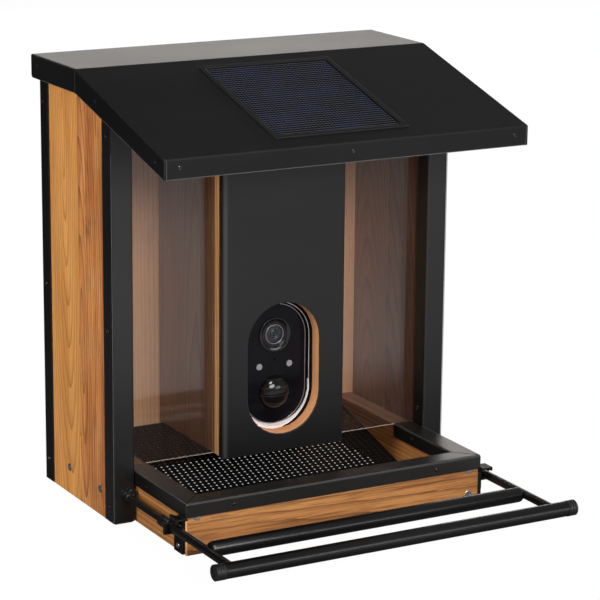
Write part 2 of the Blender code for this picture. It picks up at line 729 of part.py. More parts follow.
def make_power_button(looks, group):
    """Push button through the shell's back, kept in by a collar inside."""
    wall_inside = SHELL_BACK_Y - SHELL_WALL
    collar_back = wall_inside - FIT
    collar_front = collar_back - BUTTON_COLLAR
    top = SHELL_BACK_Y + BUTTON_PROUD
    profile = [(collar_front, BUTTON_COLLAR_RADIUS), (collar_back, BUTTON_COLLAR_RADIUS),
               (collar_back, BUTTON_RADIUS), (top - EASED_EDGE, BUTTON_RADIUS),
               (top, BUTTON_RADIUS - EASED_EDGE)]
    solid = revolve(profile, "Y", (0, BUTTON_Z), False, SMALL_ROUND_STEPS)
    add_piece("power_button", solid, looks["bush_black"], group, True)


# Seed tray

def make_tray_boards(looks, group):
    for side_name, side in sides():
        board = block((side * TRAY_INNER_X, side * TRAY_BOARD_X),
                      (TRAY_BOARD_BACK_Y + FIT, BACK_PANEL_Y - FIT), (0, TRAY_BOARD_TOP_Z))
        add_piece(f"tray_side_board_{side_name}", ease_edges(board), looks["warm_wood"], group)
    front = block((-TRAY_BOARD_X, TRAY_BOARD_X), (TRAY_BOARD_FRONT_Y, TRAY_BOARD_BACK_Y),
                  (0, TRAY_BOARD_TOP_Z))
    add_piece("tray_front_board", ease_edges(front), looks["warm_wood"], group)


def make_tray_rim(looks, group):
    """Inverted channel folded over the boards' tops, mitred round the tray's two front corners."""
    flange_z = TRAY_TOP_Z - TRAY_FLANGE
    section = folded_strip([(0, flange_z), (0, TRAY_TOP_Z), (TRAY_RIM_WIDTH, TRAY_TOP_Z),
                            (TRAY_RIM_WIDTH, flange_z)])
    rim = bmesh.new()
    stations = []
    for side, is_corner in ((-1, False), (-1, True), (1, True), (1, False)):
        ring = []
        for inset, z in section:
            y = TRAY_FRONT_Y + inset if is_corner else TRIM_FLANGE
            ring.append(rim.verts.new((side * (TRAY_OUTER_X - inset), y, z)))
        stations.append(ring)
    count = len(section)
    for ring, following in zip(stations, stations[1:]):
        for index in range(count):
            after = (index + 1) % count
            rim.faces.new((ring[index], ring[after], following[after], following[index]))
    rim.faces.new(stations[0])
    rim.faces.new(stations[-1])
    add_piece("tray_rim", rim, looks["black_sheet"], group)


def floor_bend_y():
    """Where the sloping part of the floor meets its flat front part."""
    return (FLOOR_FRONT_Z - FLOOR_POST_Z) / FLOOR_RISE_SHARE


def floor_height(y):
    """Top of the perforated floor: flat in front, then rising to the back wall."""
    return max(FLOOR_FRONT_Z, FLOOR_POST_Z + FLOOR_RISE_SHARE * y)


def slot_lines(low, high, opening, pitch):
    """Grid lines across the floor, and which of the strips between them hold slots."""
    count = int((high - low - FLOOR_MARGIN - FLOOR_MARGIN + pitch - opening) // pitch)
    first = (low + high - (count - 1) * pitch - opening) / 2
    lines = [low]
    for index in range(count):
        lines.append(first + index * pitch)
        lines.append(first + index * pitch + opening)
    lines.append(high)
    return lines


def make_floor(looks, group):
    """Perforated floor in one sheet. The slots are a coarse stand-in for the fine round holes."""
    half = TRAY_INNER_X - FIT
    across = slot_lines(-half, half, SLOT_WIDTH, SLOT_PITCH_X)
    front = TRAY_BOARD_BACK_Y + FIT
    bend = floor_bend_y()
    back = BACK_PANEL_Y - FIT
    flat_rows = slot_lines(front, bend, SLOT_LENGTH, SLOT_PITCH_Y)
    sloped_rows = slot_lines(bend, back, SLOT_LENGTH, SLOT_PITCH_Y)
    along = flat_rows + sloped_rows[1:]
    open_strips = {index for index in range(1, len(flat_rows) - 1, 2)}
    open_strips |= {len(flat_rows) - 1 + index for index in range(1, len(sloped_rows) - 1, 2)}
    sheet = bmesh.new()
    grid = [[sheet.verts.new((x, y, floor_height(y))) for x in across] for y in along]
    for row in range(len(along) - 1):
        for column in range(len(across) - 1):
            if row in open_strips and column % 2 == 1:
                continue
            sheet.faces.new((grid[row][column], grid[row][column + 1],
                             grid[row + 1][column + 1], grid[row + 1][column]))
    floor = add_piece("perforated_floor", sheet, looks["black_sheet"], group)
    thicken = floor.modifiers.new("Sheet thickness", "SOLIDIFY")
    thicken.thickness = FLOOR_SHEET
    thicken.offset = -1


# Perch

def make_perch_guides(looks, group):
    """Fixed thin rods inside the arms, each on a foot that is screwed to a front post."""
    for side_name, side in sides():
        guide = add_piece(f"perch_guide_{side_name}",
                          rod("Y", (side * ARM_X, PERCH_Z), GUIDE_RADIUS, GUIDE_FRONT_Y,
                              -FIT - GUIDE_FOOT_LENGTH / 2, SMALL_ROUND_STEPS),
                          looks["black_sheet"], group, True)
        foot = block((side * ARM_X - GUIDE_FOOT_HALF_WIDTH, side * ARM_X + GUIDE_FOOT_HALF_WIDTH),
                     (-FIT - GUIDE_FOOT_LENGTH, -FIT), (GUIDE_FOOT_LOW_Z, GUIDE_FOOT_TOP_Z))
        join(guide, ease_edges(foot))


def make_perch_brackets(looks, group):
    """Plate on the tray's side with an ear that the arm runs through and a hooked tab above it."""
    inner_x = TRAY_OUTER_X + FIT
    outer_x = inner_x + BRACKET_SHEET
    outline = [(BRACKET_FOOT_FRONT_Y, BRACKET_LOW_Z), (BRACKET_FOOT_BACK_Y, BRACKET_LOW_Z),
               (BRACKET_FOOT_BACK_Y, BRACKET_STEP_Z), (BRACKET_BACK_Y, BRACKET_STEP_Z),
               (BRACKET_BACK_Y, BRACKET_TOP_Z), (TAB_BACK_Y, BRACKET_TOP_Z),
               (TAB_BACK_Y, TAB_LOW_Z + TAB_SHEET), (TAB_FRONT_Y, TAB_LOW_Z + TAB_SHEET),
               (TAB_FRONT_Y, TAB_LOW_Z), (BRACKET_FRONT_Y, TAB_LOW_Z),
               (BRACKET_FRONT_Y, BRACKET_STEP_Z), (BRACKET_FOOT_FRONT_Y, BRACKET_STEP_Z)]
    ear_half = BUSH_BORE_RADIUS + EAR_PLATE_MARGIN
    tab_tip = ARM_X + TAB_NOSE
    for side_name, side in sides():
        span = sorted((side * inner_x, side * outer_x))
        bracket = add_piece(f"perch_bracket_{side_name}", prism(outline, "X", *span),
                            looks["black_sheet"], group)
        pad = block((side * (TRAY_BOARD_X + FIT), side * (inner_x + BRACKET_SHEET / 2)),
                    (BRACKET_FOOT_FRONT_Y + EASED_EDGE, BRACKET_FOOT_BACK_Y - EASED_EDGE),
                    (BRACKET_LOW_Z + EASED_EDGE, BRACKET_TOP_Z - EASED_EDGE))
        join(bracket, pad)
        ear = block((side * (inner_x + BRACKET_SHEET / 2), side * (ARM_X + ear_half)),
                    (EAR_PLATE_Y, EAR_PLATE_Y + EAR_PLATE),
                    (PERCH_Z - ear_half, BRACKET_TOP_Z - EASED_EDGE))
        join(bracket, ear)
        tab = [(side * (inner_x + BRACKET_SHEET / 2), TAB_LOW_Z + EASED_EDGE / 2),
               (side * (tab_tip - TAB_SHEET), TAB_LOW_Z + EASED_EDGE / 2),
               (side * (tab_tip - TAB_SHEET), TAB_LOW_Z - TAB_NOSE),
               (side * tab_tip, TAB_LOW_Z - TAB_NOSE),
               (side * tab_tip, TAB_LOW_Z + TAB_SHEET - EASED_EDGE / 2),
               (side * (inner_x + BRACKET_SHEET / 2), TAB_LOW_Z + TAB_SHEET - EASED_EDGE / 2)]
        join(bracket, prism(tab, "Y", TAB_FRONT_Y + EASED_EDGE, TAB_BACK_Y - EASED_EDGE))
        cut(bracket, rod("Y", (side * ARM_X, PERCH_Z), BUSH_BORE_RADIUS,
                         EAR_PLATE_Y - OVERRUN, EAR_PLATE_Y + EAR_PLATE + OVERRUN))


def make_perch_bushes(looks, group):
    for side_name, side in sides():
        solid = tube("Y", (side * ARM_X, PERCH_Z), BUSH_RADIUS, BUSH_BORE_RADIUS,
                     BUSH_FRONT_Y, BUSH_BACK_Y)
        add_piece(f"perch_bush_{side_name}", solid, looks["bush_black"], group, True)


def make_perch(looks, group):
    """Two tubes that slide over the guides, and the two bars that birds stand on."""
    arm_front = OUTER_BAR_Y + BAR_RADIUS + FIT
    tenon_end = ARM_X - ARM_RADIUS - FIT
    for side_name, side in sides():
        arm = tube("Y", (side * ARM_X, PERCH_Z), ARM_RADIUS, ARM_BORE_RADIUS, arm_front, ARM_BACK_Y)
        add_piece(f"perch_arm_{side_name}", arm, looks["black_sheet"], group, True)
    inner_half = [(0, BAR_RADIUS), (INNER_BAR_HALF_LENGTH - BAR_CHAMFER, BAR_RADIUS),
                  (INNER_BAR_HALF_LENGTH, BAR_RADIUS - BAR_CHAMFER),
                  (INNER_BAR_HALF_LENGTH, INNER_BAR_TENON_RADIUS), (tenon_end, INNER_BAR_TENON_RADIUS)]
    inner = [(-along, radius) for along, radius in inner_half[:0:-1]] + inner_half[1:]
    add_piece("perch_inner_bar", revolve(inner, "X", (INNER_BAR_Y, PERCH_Z)),
              looks["black_sheet"], group, True)
    bar_end = OUTER_BAR_HALF_LENGTH - CAP_LENGTH - FIT
    outer = rod("X", (OUTER_BAR_Y, PERCH_Z), BAR_RADIUS, -bar_end, bar_end, ROUND_STEPS)
    add_piece("perch_outer_bar", outer, looks["black_sheet"], group, True)
    for side_name, side in sides():
        cap = revolve(cap_profile(side), "X", (OUTER_BAR_Y, PERCH_Z))
        add_piece(f"bar_cap_{side_name}", cap, looks["bush_black"], group, True)


def cap_profile(side):
    """Ribbed cap on the outer bar: raised ribs with a groove between each two."""
    start = OUTER_BAR_HALF_LENGTH - CAP_LENGTH
    pitch = CAP_LENGTH / (CAP_RIBS - 0.5)
    profile = []
    for rib in range(CAP_RIBS):
        low = start + rib * pitch
        high = low + pitch / 2
        profile += [(side * low, CAP_RADIUS), (side * high, CAP_RADIUS)]
        if rib < CAP_RIBS - 1:
            groove = CAP_RADIUS - CAP_GROOVE_DEPTH
            profile += [(side * high, groove), (side * (low + pitch), groove)]
    return profile


# Roof lid

def roof_path():
    """Outer face of the roof sheet in Y and Z, from the rear flange to the fascia."""
    return [(ROOF_BACK_Y, ROOF_TOP_Z - ROOF_FLANGE + FLANGE_CLIP), (ROOF_BACK_Y, ROOF_TOP_Z),
            (RIDGE_Y, ROOF_TOP_Z), (ROOF_FRONT_Y, ROOF_FRONT_TOP_Z),
            (ROOF_FRONT_Y, ROOF_FRONT_TOP_Z - FASCIA)]


def roof_section(inset):
    """Outline of the roof in Y and Z, its top and its ends drawn in by an inset. The lower rear
    corner is clipped, and the lower edge follows the slope in front of the ridge."""
    strip = folded_strip(roof_path())
    half_count = len(strip) // 2
    share = inset / SHEET
    outline = []
    for outer, inner in zip(strip[:half_count], strip[half_count:][::-1]):
        outline.append((outer[0] + (inner[0] - outer[0]) * share,
                        outer[1] + (inner[1] - outer[1]) * share))
    flange_low = (RIDGE_Y, ROOF_TOP_Z - ROOF_FLANGE)
    front_low = roof_path()[-1]
    lean = (flange_low[1] - front_low[1]) / (flange_low[0] - front_low[0])
    outline[0] = (outline[0][0], outline[0][1] - inset)
    outline[-1] = (outline[-1][0], outline[-1][1] + inset * lean)
    return outline + [flange_low, (ROOF_BACK_Y - FLANGE_CLIP, flange_low[1])]


def make_roof_sheet(looks, group):
    """One folded sheet: flat rear, sloping front and flanges all round, open underneath."""
    left = []
    for step in range(BEND_STEPS + 1):
        angle = step / BEND_STEPS * math.pi / 2
        reach = ROOF_HALF_WIDTH - ROOF_EDGE_RADIUS * (1 - math.cos(angle))
        left.append((-reach, roof_section(ROOF_EDGE_RADIUS * (1 - math.sin(angle)))))
    right = [(-along, section) for along, section in left[::-1]]
    roof = add_piece("roof_sheet", loft(left + right), looks["black_sheet"], group)
    strip = folded_strip(roof_path())
    inner = strip[len(strip) // 2:]
    hollow = [(inner[0][0], inner[0][1] - OVERRUN)] + inner
    hollow.append((inner[-1][0], ROOF_TOP_Z - ROOF_FLANGE - OVERRUN))
    inside = ROOF_HALF_WIDTH - SHEET
    cut(roof, prism(hollow, "X", -inside, inside))
    reach = SOLAR_DEPTH + OVERRUN
    cut(roof, solar_block(FIT, -reach, OVERRUN), ROOF_SLOPE, ridge_hub())


def ridge_hub():
    return (0, RIDGE_Y, ROOF_TOP_Z)


def solar_block(grow, low, high):
    """Block over the solar panel's place, drawn level at the ridge before it is leaned over."""
    half = SOLAR_HALF_WIDTH + grow
    return block((-half, half), (RIDGE_Y - SOLAR_END - grow, RIDGE_Y - SOLAR_START + grow),
                 (ROOF_TOP_Z + low, ROOF_TOP_Z + high))


def make_solar_panel(looks, group):
    """Raised frame in the roof's opening, with the panel sunk in it."""
    bezel = add_piece("solar_frame", solar_block(0, -SOLAR_DEPTH, SOLAR_LIP_RISE),
                      looks["black_sheet"], group)
    lean_on_slope(bezel, ridge_hub(), ROOF_SLOPE)
    cut(bezel, solar_block(-SOLAR_LIP, -SOLAR_DEPTH - OVERRUN, SOLAR_LIP_RISE + OVERRUN),
        ROOF_SLOPE, ridge_hub())
    panel = add_piece("solar_panel", solar_block(-SOLAR_LIP - FIT, -SOLAR_DEPTH,
                                                 SOLAR_LIP_RISE - SOLAR_RECESS),
                      looks["solar_cells"], group)
    lean_on_slope(panel, ridge_hub(), ROOF_SLOPE)


def make_lid_boards(looks, group):
    """Boards under the roof sheet: a flat rear one, and a sloping one with the panel's pocket."""
    span = (SHEET + FIT - ROOF_HALF_WIDTH, ROOF_HALF_WIDTH - SHEET - FIT)
    top = SHEET + FIT
    back = ROOF_BACK_Y - SHEET - FIT
    front = ROOF_FRONT_Y + SHEET + FIT
    butt = crease_y(ROOF_LINING)
    rear_front = butt + FIT
    rear = [(rear_front, flat_height(ROOF_LINING)), (back, flat_height(ROOF_LINING)),
            (back, flat_height(top)), (rear_front, flat_height(top))]
    add_piece("lid_board_rear", ease_edges(prism(rear, "X", *span)), looks["pale_wood"], group)
    top_crease = crease_y(top)
    slope = [(front, slope_height(front, ROOF_LINING)), (butt, slope_height(butt, ROOF_LINING)),
             (butt, flat_height(top)), (top_crease, flat_height(top)),
             (front, slope_height(front, top))]
    board = add_piece("lid_board_front", prism(slope, "X", *span), looks["pale_wood"], group)
    cut(board, solar_block(FIT, -SOLAR_DEPTH - FIT, OVERRUN), ROOF_SLOPE, ridge_hub())


# Roof hinges

def eye_outline(up):
    """Curled end of a hinge leaf in Y and Z: a tangent strip and the roll round the pin.
    The strip rises from the pin where up is 1, and hangs from it where up is -1."""
    inner_y = HINGE_AXIS_Y - KNUCKLE_RADIUS
    outer_y = inner_y + HINGE_LEAF
    strip_z = HINGE_AXIS_Z + up * (KNUCKLE_RADIUS + KNUCKLE_RADIUS)
    start = up * math.acos((outer_y - HINGE_AXIS_Y) / KNUCKLE_RADIUS)
    roll = arc((HINGE_AXIS_Y, HINGE_AXIS_Z), KNUCKLE_RADIUS, start, -up * math.pi, 12)
    return [(inner_y, strip_z), (outer_y, strip_z)] + roll


def make_hinges(looks, housing, lid):
    inner_y = HINGE_AXIS_Y - KNUCKLE_RADIUS
    outer_y = inner_y + HINGE_LEAF
    wall_y = WALL_BACK_Y + FIT
    for side_name, side in sides():
        x = side * HINGE_X
        ends = (x - HINGE_HALF_LENGTH, x + HINGE_HALF_LENGTH)
        eye_x = (x - HINGE_EYE_HALF_LENGTH, x + HINGE_EYE_HALF_LENGTH)
        gap = HINGE_EYE_HALF_LENGTH + FIT
        edge = KNUCKLE_RADIUS + FIT
        low = HINGE_AXIS_Z - HINGE_LEAF_LENGTH
        step_low = HINGE_AXIS_Z - HINGE_JOGGLE_LOW
        step_high = HINGE_AXIS_Z - HINGE_JOGGLE_HIGH
        slant = HINGE_LEAF / 2
        plate = [(wall_y, low), (wall_y + HINGE_LEAF, low), (wall_y + HINGE_LEAF, step_low),
                 (outer_y, step_high), (outer_y, HINGE_AXIS_Z - edge),
                 (inner_y, HINGE_AXIS_Z - edge), (inner_y, step_high + slant),
                 (wall_y, step_low + slant)]
        fixed = add_piece(f"hinge_leaf_fixed_{side_name}", prism(plate, "X", *ends),
                          looks["steel"], housing)
        for end, start in ((ends[0], x - gap), (ends[1], x + gap)):
            join(fixed, prism(eye_outline(-1), "X", *sorted((start, end))))
        moving = add_piece(f"hinge_leaf_lid_{side_name}",
                           block(ends, (inner_y, outer_y),
                                 (HINGE_AXIS_Z + edge, HINGE_AXIS_Z + HINGE_LID_LEAF_LENGTH)),
                           looks["steel"], lid)
        join(moving, prism(eye_outline(1), "X", *eye_x))
        for leaf in (fixed, moving):
            cut(leaf, rod("X", (HINGE_AXIS_Y, HINGE_AXIS_Z), PIN_BORE_RADIUS,
                          ends[0] - OVERRUN, ends[1] + OVERRUN))
        add_piece(f"hinge_pin_{side_name}", hinge_pin(*ends), looks["steel"], housing, True)


def hinge_pin(low_x, high_x):
    """Plain pin with a flat head outside each end knuckle."""
    low = low_x - FIT
    high = high_x + FIT
    profile = [(low - PIN_HEAD, PIN_HEAD_RADIUS), (low, PIN_HEAD_RADIUS), (low, PIN_RADIUS),
               (high, PIN_RADIUS), (high, PIN_HEAD_RADIUS), (high + PIN_HEAD, PIN_HEAD_RADIUS)]
    return revolve(profile, "X", (HINGE_AXIS_Y, HINGE_AXIS_Z), False, SMALL_ROUND_STEPS)


def build_feeder():
    clear_scene()
    looks = make_looks()
    groups = make_groups()
    housing = groups["housing"]
    lid = groups["lid"]
    make_side_walls(looks, housing)
    make_back_panel(looks, housing)
    make_corner_trims(looks, housing)
    make_windows(looks, housing)
    make_column(looks, housing)
    make_column_cover(looks, housing)
    make_camera_rims(looks, housing)
    make_camera_face(looks, housing)
    make_lens(looks, housing)
    make_sensors(looks, housing)
    make_camera_shell(looks, housing)
    make_camera_inside(looks, housing)
    make_power_button(looks, groups["button"])
    make_tray_boards(looks, housing)
    make_tray_rim(looks, housing)
    make_floor(looks, housing)
    make_perch_guides(looks, housing)
    make_perch_brackets(looks, housing)
    make_perch_bushes(looks, housing)
    make_perch(looks, groups["perch"])
    make_roof_sheet(looks, lid)
    make_solar_panel(looks, lid)
    make_lid_boards(looks, lid)
    make_hinges(looks, housing, lid)


build_feeder()
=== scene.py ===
"""Finishes, fine pieces, studio and camera for the smart bird feeder."""
import math

import bmesh
import bpy
from mathutils import Matrix, Vector


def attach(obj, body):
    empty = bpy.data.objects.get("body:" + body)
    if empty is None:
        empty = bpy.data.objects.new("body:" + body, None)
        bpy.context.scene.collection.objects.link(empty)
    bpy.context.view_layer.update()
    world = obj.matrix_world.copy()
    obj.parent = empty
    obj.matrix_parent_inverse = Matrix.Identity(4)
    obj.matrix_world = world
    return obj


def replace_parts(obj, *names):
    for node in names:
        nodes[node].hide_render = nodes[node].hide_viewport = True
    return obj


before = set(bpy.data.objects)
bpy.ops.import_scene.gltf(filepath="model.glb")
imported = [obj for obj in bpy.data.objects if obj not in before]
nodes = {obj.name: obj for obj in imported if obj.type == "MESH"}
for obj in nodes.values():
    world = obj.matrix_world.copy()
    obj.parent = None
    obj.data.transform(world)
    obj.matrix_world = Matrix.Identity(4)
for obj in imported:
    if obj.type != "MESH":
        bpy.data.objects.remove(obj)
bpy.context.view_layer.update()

# The drawing's depths start at the front face of the posts. This is that face's place in the frame.
FRONT = 0.02305
MM = 0.001

SIDES = (("left", -1), ("right", 1))

# Half the feeder's width at its walls, roof and tray, and the depth of the roof's and the tray's
# front, in the drawing's millimetres
WALL_X = 142.5
ROOF_X = 148.6
TRAY_X = 125.0
ROOF_FRONT_Y = -100.2
TRAY_FRONT_Y = -84.6

# Perch: the arms' distance from the middle, the height of their axes, and the bars' depths
ARM_X, ARM_Z = 132.8, 22
INNER_BAR_Y, OUTER_BAR_Y = -132, -175
CAP_START, CAP_LENGTH, CAP_RADIUS, CAP_GROOVE_RADIUS = 141.3, 7.6, 5.9, 5.65

# Camera: outline of the face, two half circles joined by straight sides, then lens and dome
FACE_RADIUS, FACE_TOP_Z, FACE_LOW_Z = 29.6, 123.7, 82.5
LENS_Z = 126.3
DOME_Z = 80.6

# Slope of the roof's front part, in radians
ROOF_SLOPE = 0.2705

# A wave texture at this scale repeats once in each unit of length
ONE_WAVE = 0.314159


def at(x, y, z):
    """A point of the drawing, in millimetres, in the frame."""
    return Vector((x * MM, y * MM + FRONT, z * MM))


# Camera

def make_camera():
    """The photograph's view: a long lens, from the left and above, turned a little."""
    azimuth, elevation, roll = math.radians(-29.0462), math.radians(14.3507), math.radians(0.5312)
    away = Vector((math.sin(azimuth) * math.cos(elevation),
                   -math.cos(azimuth) * math.cos(elevation), math.sin(elevation)))
    right = (-away).cross(Vector((0, 0, 1))).normalized()
    up = right.cross(-away)
    side = right * math.cos(roll) + up * math.sin(roll)
    top = up * math.cos(roll) - right * math.sin(roll)
    data = bpy.data.cameras.new("photo_camera")
    data.sensor_width = 36
    data.lens = 150.73
    data.clip_start = 0.05
    data.clip_end = 50
    camera = bpy.data.objects.new("photo_camera", data)
    bpy.context.scene.collection.objects.link(camera)
    turn = Matrix((side, top, away)).transposed().to_4x4()
    camera.matrix_world = Matrix.Translation(Vector((-0.88054, -1.58692, 0.62627))) @ turn
    bpy.context.scene.camera = camera


# Finishes

class Nodes:
    """A node tree, and short ways to add to it."""

    def __init__(self, tree):
        self.tree = tree

    def add(self, kind, inputs=(), **settings):
        node = self.tree.nodes.new("ShaderNode" + kind)
        for key, value in settings.items():
            setattr(node, key, value)
        for key, value in dict(inputs).items():
            self.feed(node.inputs[key], value)
        return node

    def feed(self, socket, value):
        if isinstance(value, bpy.types.NodeSocket):
            self.tree.links.new(value, socket)
        else:
            socket.default_value = value

    def split(self, vector):
        """The three parts of a vector or colour."""
        return self.add("SeparateXYZ", {0: vector}).outputs

    def sums(self, operation, first, second=0.5):
        return self.add("Math", {0: first, 1: second}, operation=operation).outputs[0]

    def between(self, value, low, high, to_low=0.0, to_high=1.0):
        """Spreads a value from one range to another, and clamps it there."""
        values = {0: value, 1: low, 2: high, 3: to_low, 4: to_high}
        return self.add("MapRange", values).outputs[0]


class Finish(Nodes):
    """A Principled material, and short ways to build its pattern. Numbers that are the same all
    over the surface are given by the names of the shader's sockets."""

    def __init__(self, name, **sockets):
        self.material = bpy.data.materials.new(name)
        self.material.use_nodes = True
        super().__init__(self.material.node_tree)
        self.shader = self.tree.nodes["Principled BSDF"]
        for socket, value in sockets.items():
            self.shader.inputs[socket.replace("_", " ")].default_value = value
        self.place = self.add("TexCoord").outputs["Object"]

    def moved(self, vector, location=(0, 0, 0), rotation=(0, 0, 0), scale=(1, 1, 1)):
        values = {"Vector": vector, "Location": location, "Rotation": rotation, "Scale": scale}
        return self.add("Mapping", values).outputs[0]

    def noise(self, vector, scale, detail=2.0, roughness=0.5, distortion=0.0):
        values = {"Vector": vector, "Scale": scale, "Detail": detail, "Roughness": roughness,
                  "Distortion": distortion}
        return self.add("TexNoise", values).outputs["Fac"]

    def mix(self, share, first, second):
        values = {0: share, 6: first, 7: second}
        return self.add("Mix", values, data_type="RGBA").outputs[2]

    def specks(self, scale, radius, soft_radius, rarity, commoner):
        """Round specks in some cells of a loose grid."""
        cells = self.add("TexVoronoi", {"Vector": self.place, "Scale": scale, "Randomness": 1.0})
        speck = self.between(cells.outputs["Distance"], radius, soft_radius, 1.0, 0.0)
        pick = self.between(self.split(cells.outputs["Color"])[0], rarity, commoner)
        return self.sums("MULTIPLY", speck, pick)

    def bumped(self, height, distance, strength=1.0, edge=0.0):
        values = {"Height": height, "Distance": distance, "Strength": strength}
        if edge:
            values["Normal"] = self.add("Bevel", {"Radius": edge}, samples=4).outputs[0]
        self.feed(self.shader.inputs["Normal"], self.add("Bump", values).outputs[0])

    def colour(self, value):
        self.feed(self.shader.inputs["Base Color"], value)

    def roughness(self, value):
        self.feed(self.shader.inputs["Roughness"], value)


def rgb(red, green, blue):
    return (red, green, blue, 1.0)


def scaled(colour, factor, lift=0.0):
    return rgb(*[channel * factor + lift for channel in colour])


# Wood tones: ground, deeper ground, ring line and dark figure
HONEY = (rgb(0.850, 0.405, 0.118), rgb(0.700, 0.305, 0.080),
         rgb(0.380, 0.140, 0.034), rgb(0.280, 0.098, 0.026))
RUSSET = (rgb(0.830, 0.360, 0.116), rgb(0.520, 0.185, 0.056),
          rgb(0.210, 0.062, 0.020), rgb(0.130, 0.038, 0.014))
AMBER = (rgb(0.600, 0.272, 0.086), rgb(0.430, 0.172, 0.050),
         rgb(0.150, 0.052, 0.017), rgb(0.085, 0.028, 0.010))
CUT_EDGE = (rgb(1.000, 0.510, 0.240), rgb(0.930, 0.430, 0.190),
            rgb(0.700, 0.290, 0.110), rgb(0.570, 0.225, 0.082))
PLANED = (rgb(1.000, 0.560, 0.240), rgb(0.900, 0.440, 0.165),
          rgb(0.520, 0.200, 0.060), rgb(0.380, 0.135, 0.040))
# Back panel tones, painted brighter than the other boards' to stand in for the light inside the seed
# store.
INSIDE = (rgb(1.000, 0.600, 0.320), rgb(1.000, 0.540, 0.270),
          rgb(0.800, 0.360, 0.155), rgb(0.620, 0.262, 0.112))


def wood(name, grain, tones, pith, spacing, lean, figure, streaks, seed, flecks=0.25, shaded_facing=0,
         thin=1.0):
    """Oiled solid wood. Growth rings stand round a pith line that leans a little to the face, so
    that the face shows arches; over them lie fibre, pores, flecks, slow tone drift and dark
    figure. Faces that look along X towards the seed store, as shaded_facing gives, are darkened
    behind the pane with painted shade."""
    ground, deep, line, dark = tones
    finish = Finish(name, Roughness=0.5, Specular_IOR_Level=0.22)
    parts = finish.split(finish.place)
    order = {"X": (1, 2, 0), "Y": (0, 2, 1), "Z": (0, 1, 2)}[grain]
    local = finish.add("CombineXYZ", {i: parts[axis] for i, axis in enumerate(order)}).outputs[0]
    centred = finish.moved(local, location=(-pith[0], -pith[1], seed))
    leaning = finish.moved(centred, rotation=(lean * 0.35, lean, 0))
    slender = finish.moved(leaning, scale=(1, 1, 0.10))
    wave = {"Vector": slender, "Scale": ONE_WAVE / spacing, "Distortion": 2.6, "Detail": 3.0,
            "Detail Scale": 0.55, "Detail Roughness": 0.6}
    rings = finish.add("TexWave", wave, wave_type="RINGS", rings_direction="Z",
                       wave_profile="SAW").outputs["Fac"]
    fibre_place = finish.moved(centred, scale=(1, 1, 0.025))
    fibre = finish.noise(fibre_place, 1500, 3.0, 0.65)
    coarse_fibre = finish.noise(fibre_place, 420, 3.0, 0.6, 0.4)
    drift = finish.noise(finish.moved(centred, scale=(1, 1, 0.14)), 55, 2.0, 0.5, 0.3)
    pores = finish.noise(finish.moved(centred, scale=(1, 1, 0.05)), 2600, 1.0, 0.5)
    tone = finish.mix(finish.between(drift, 0.38, 0.66), ground, deep)
    late = finish.between(finish.sums("POWER", rings, 4.0), 0.05, 0.95)
    tone = finish.mix(finish.sums("MULTIPLY", late, 0.85), tone, line)
    tone = finish.mix(finish.between(coarse_fibre, 0.50, 0.72, 0.0, streaks), tone, line)
    patch = finish.noise(finish.moved(leaning, scale=(1, 1, 0.17)), 62, 4.0, 0.62, 0.9)
    ragged = finish.sums("ADD", patch, finish.sums("MULTIPLY", coarse_fibre, 0.30))
    tone = finish.mix(finish.between(ragged, 0.70, 0.84, 0.0, figure), tone, dark)
    tone = finish.mix(finish.between(fibre, 0.35, 0.75, 0.0, 0.34), tone, line)
    tone = finish.mix(finish.between(pores, 0.70, 0.78, 0.0, 0.5), tone, dark)
    fleck_place = finish.moved(centred, scale=(1, 1, 0.09 / thin))
    fleck = finish.noise(fleck_place, 620 * thin ** 0.5, 3.0, 0.7, 0.3)
    tone = finish.mix(finish.between(fleck, 0.52, 0.66, 0.0, flecks), tone, dark)
    # Painted shade: faces towards the seed store, behind the pane, are darkened to stand in for the
    # shade inside.
    if shaded_facing:
        facing = finish.split(finish.add("TexCoord").outputs["Normal"])[0]
        darkening = finish.between(finish.sums("MULTIPLY", facing, shaded_facing), 0.5, 0.9, 0.0, 0.57)
        behind_pane = finish.between(parts[1], FRONT + 0.0160, FRONT + 0.0180)
        darkening = finish.sums("MULTIPLY", darkening, behind_pane)
        tone = finish.mix(darkening, tone, rgb(0.055, 0.026, 0.014))
    finish.colour(tone)
    finish.roughness(finish.between(coarse_fibre, 0.3, 0.7, 0.40, 0.58))
    relief = finish.sums("SUBTRACT", fibre, finish.sums("MULTIPLY", late, 0.5))
    finish.bumped(relief, 0.00022, 0.45, 0.0004)
    return finish.material


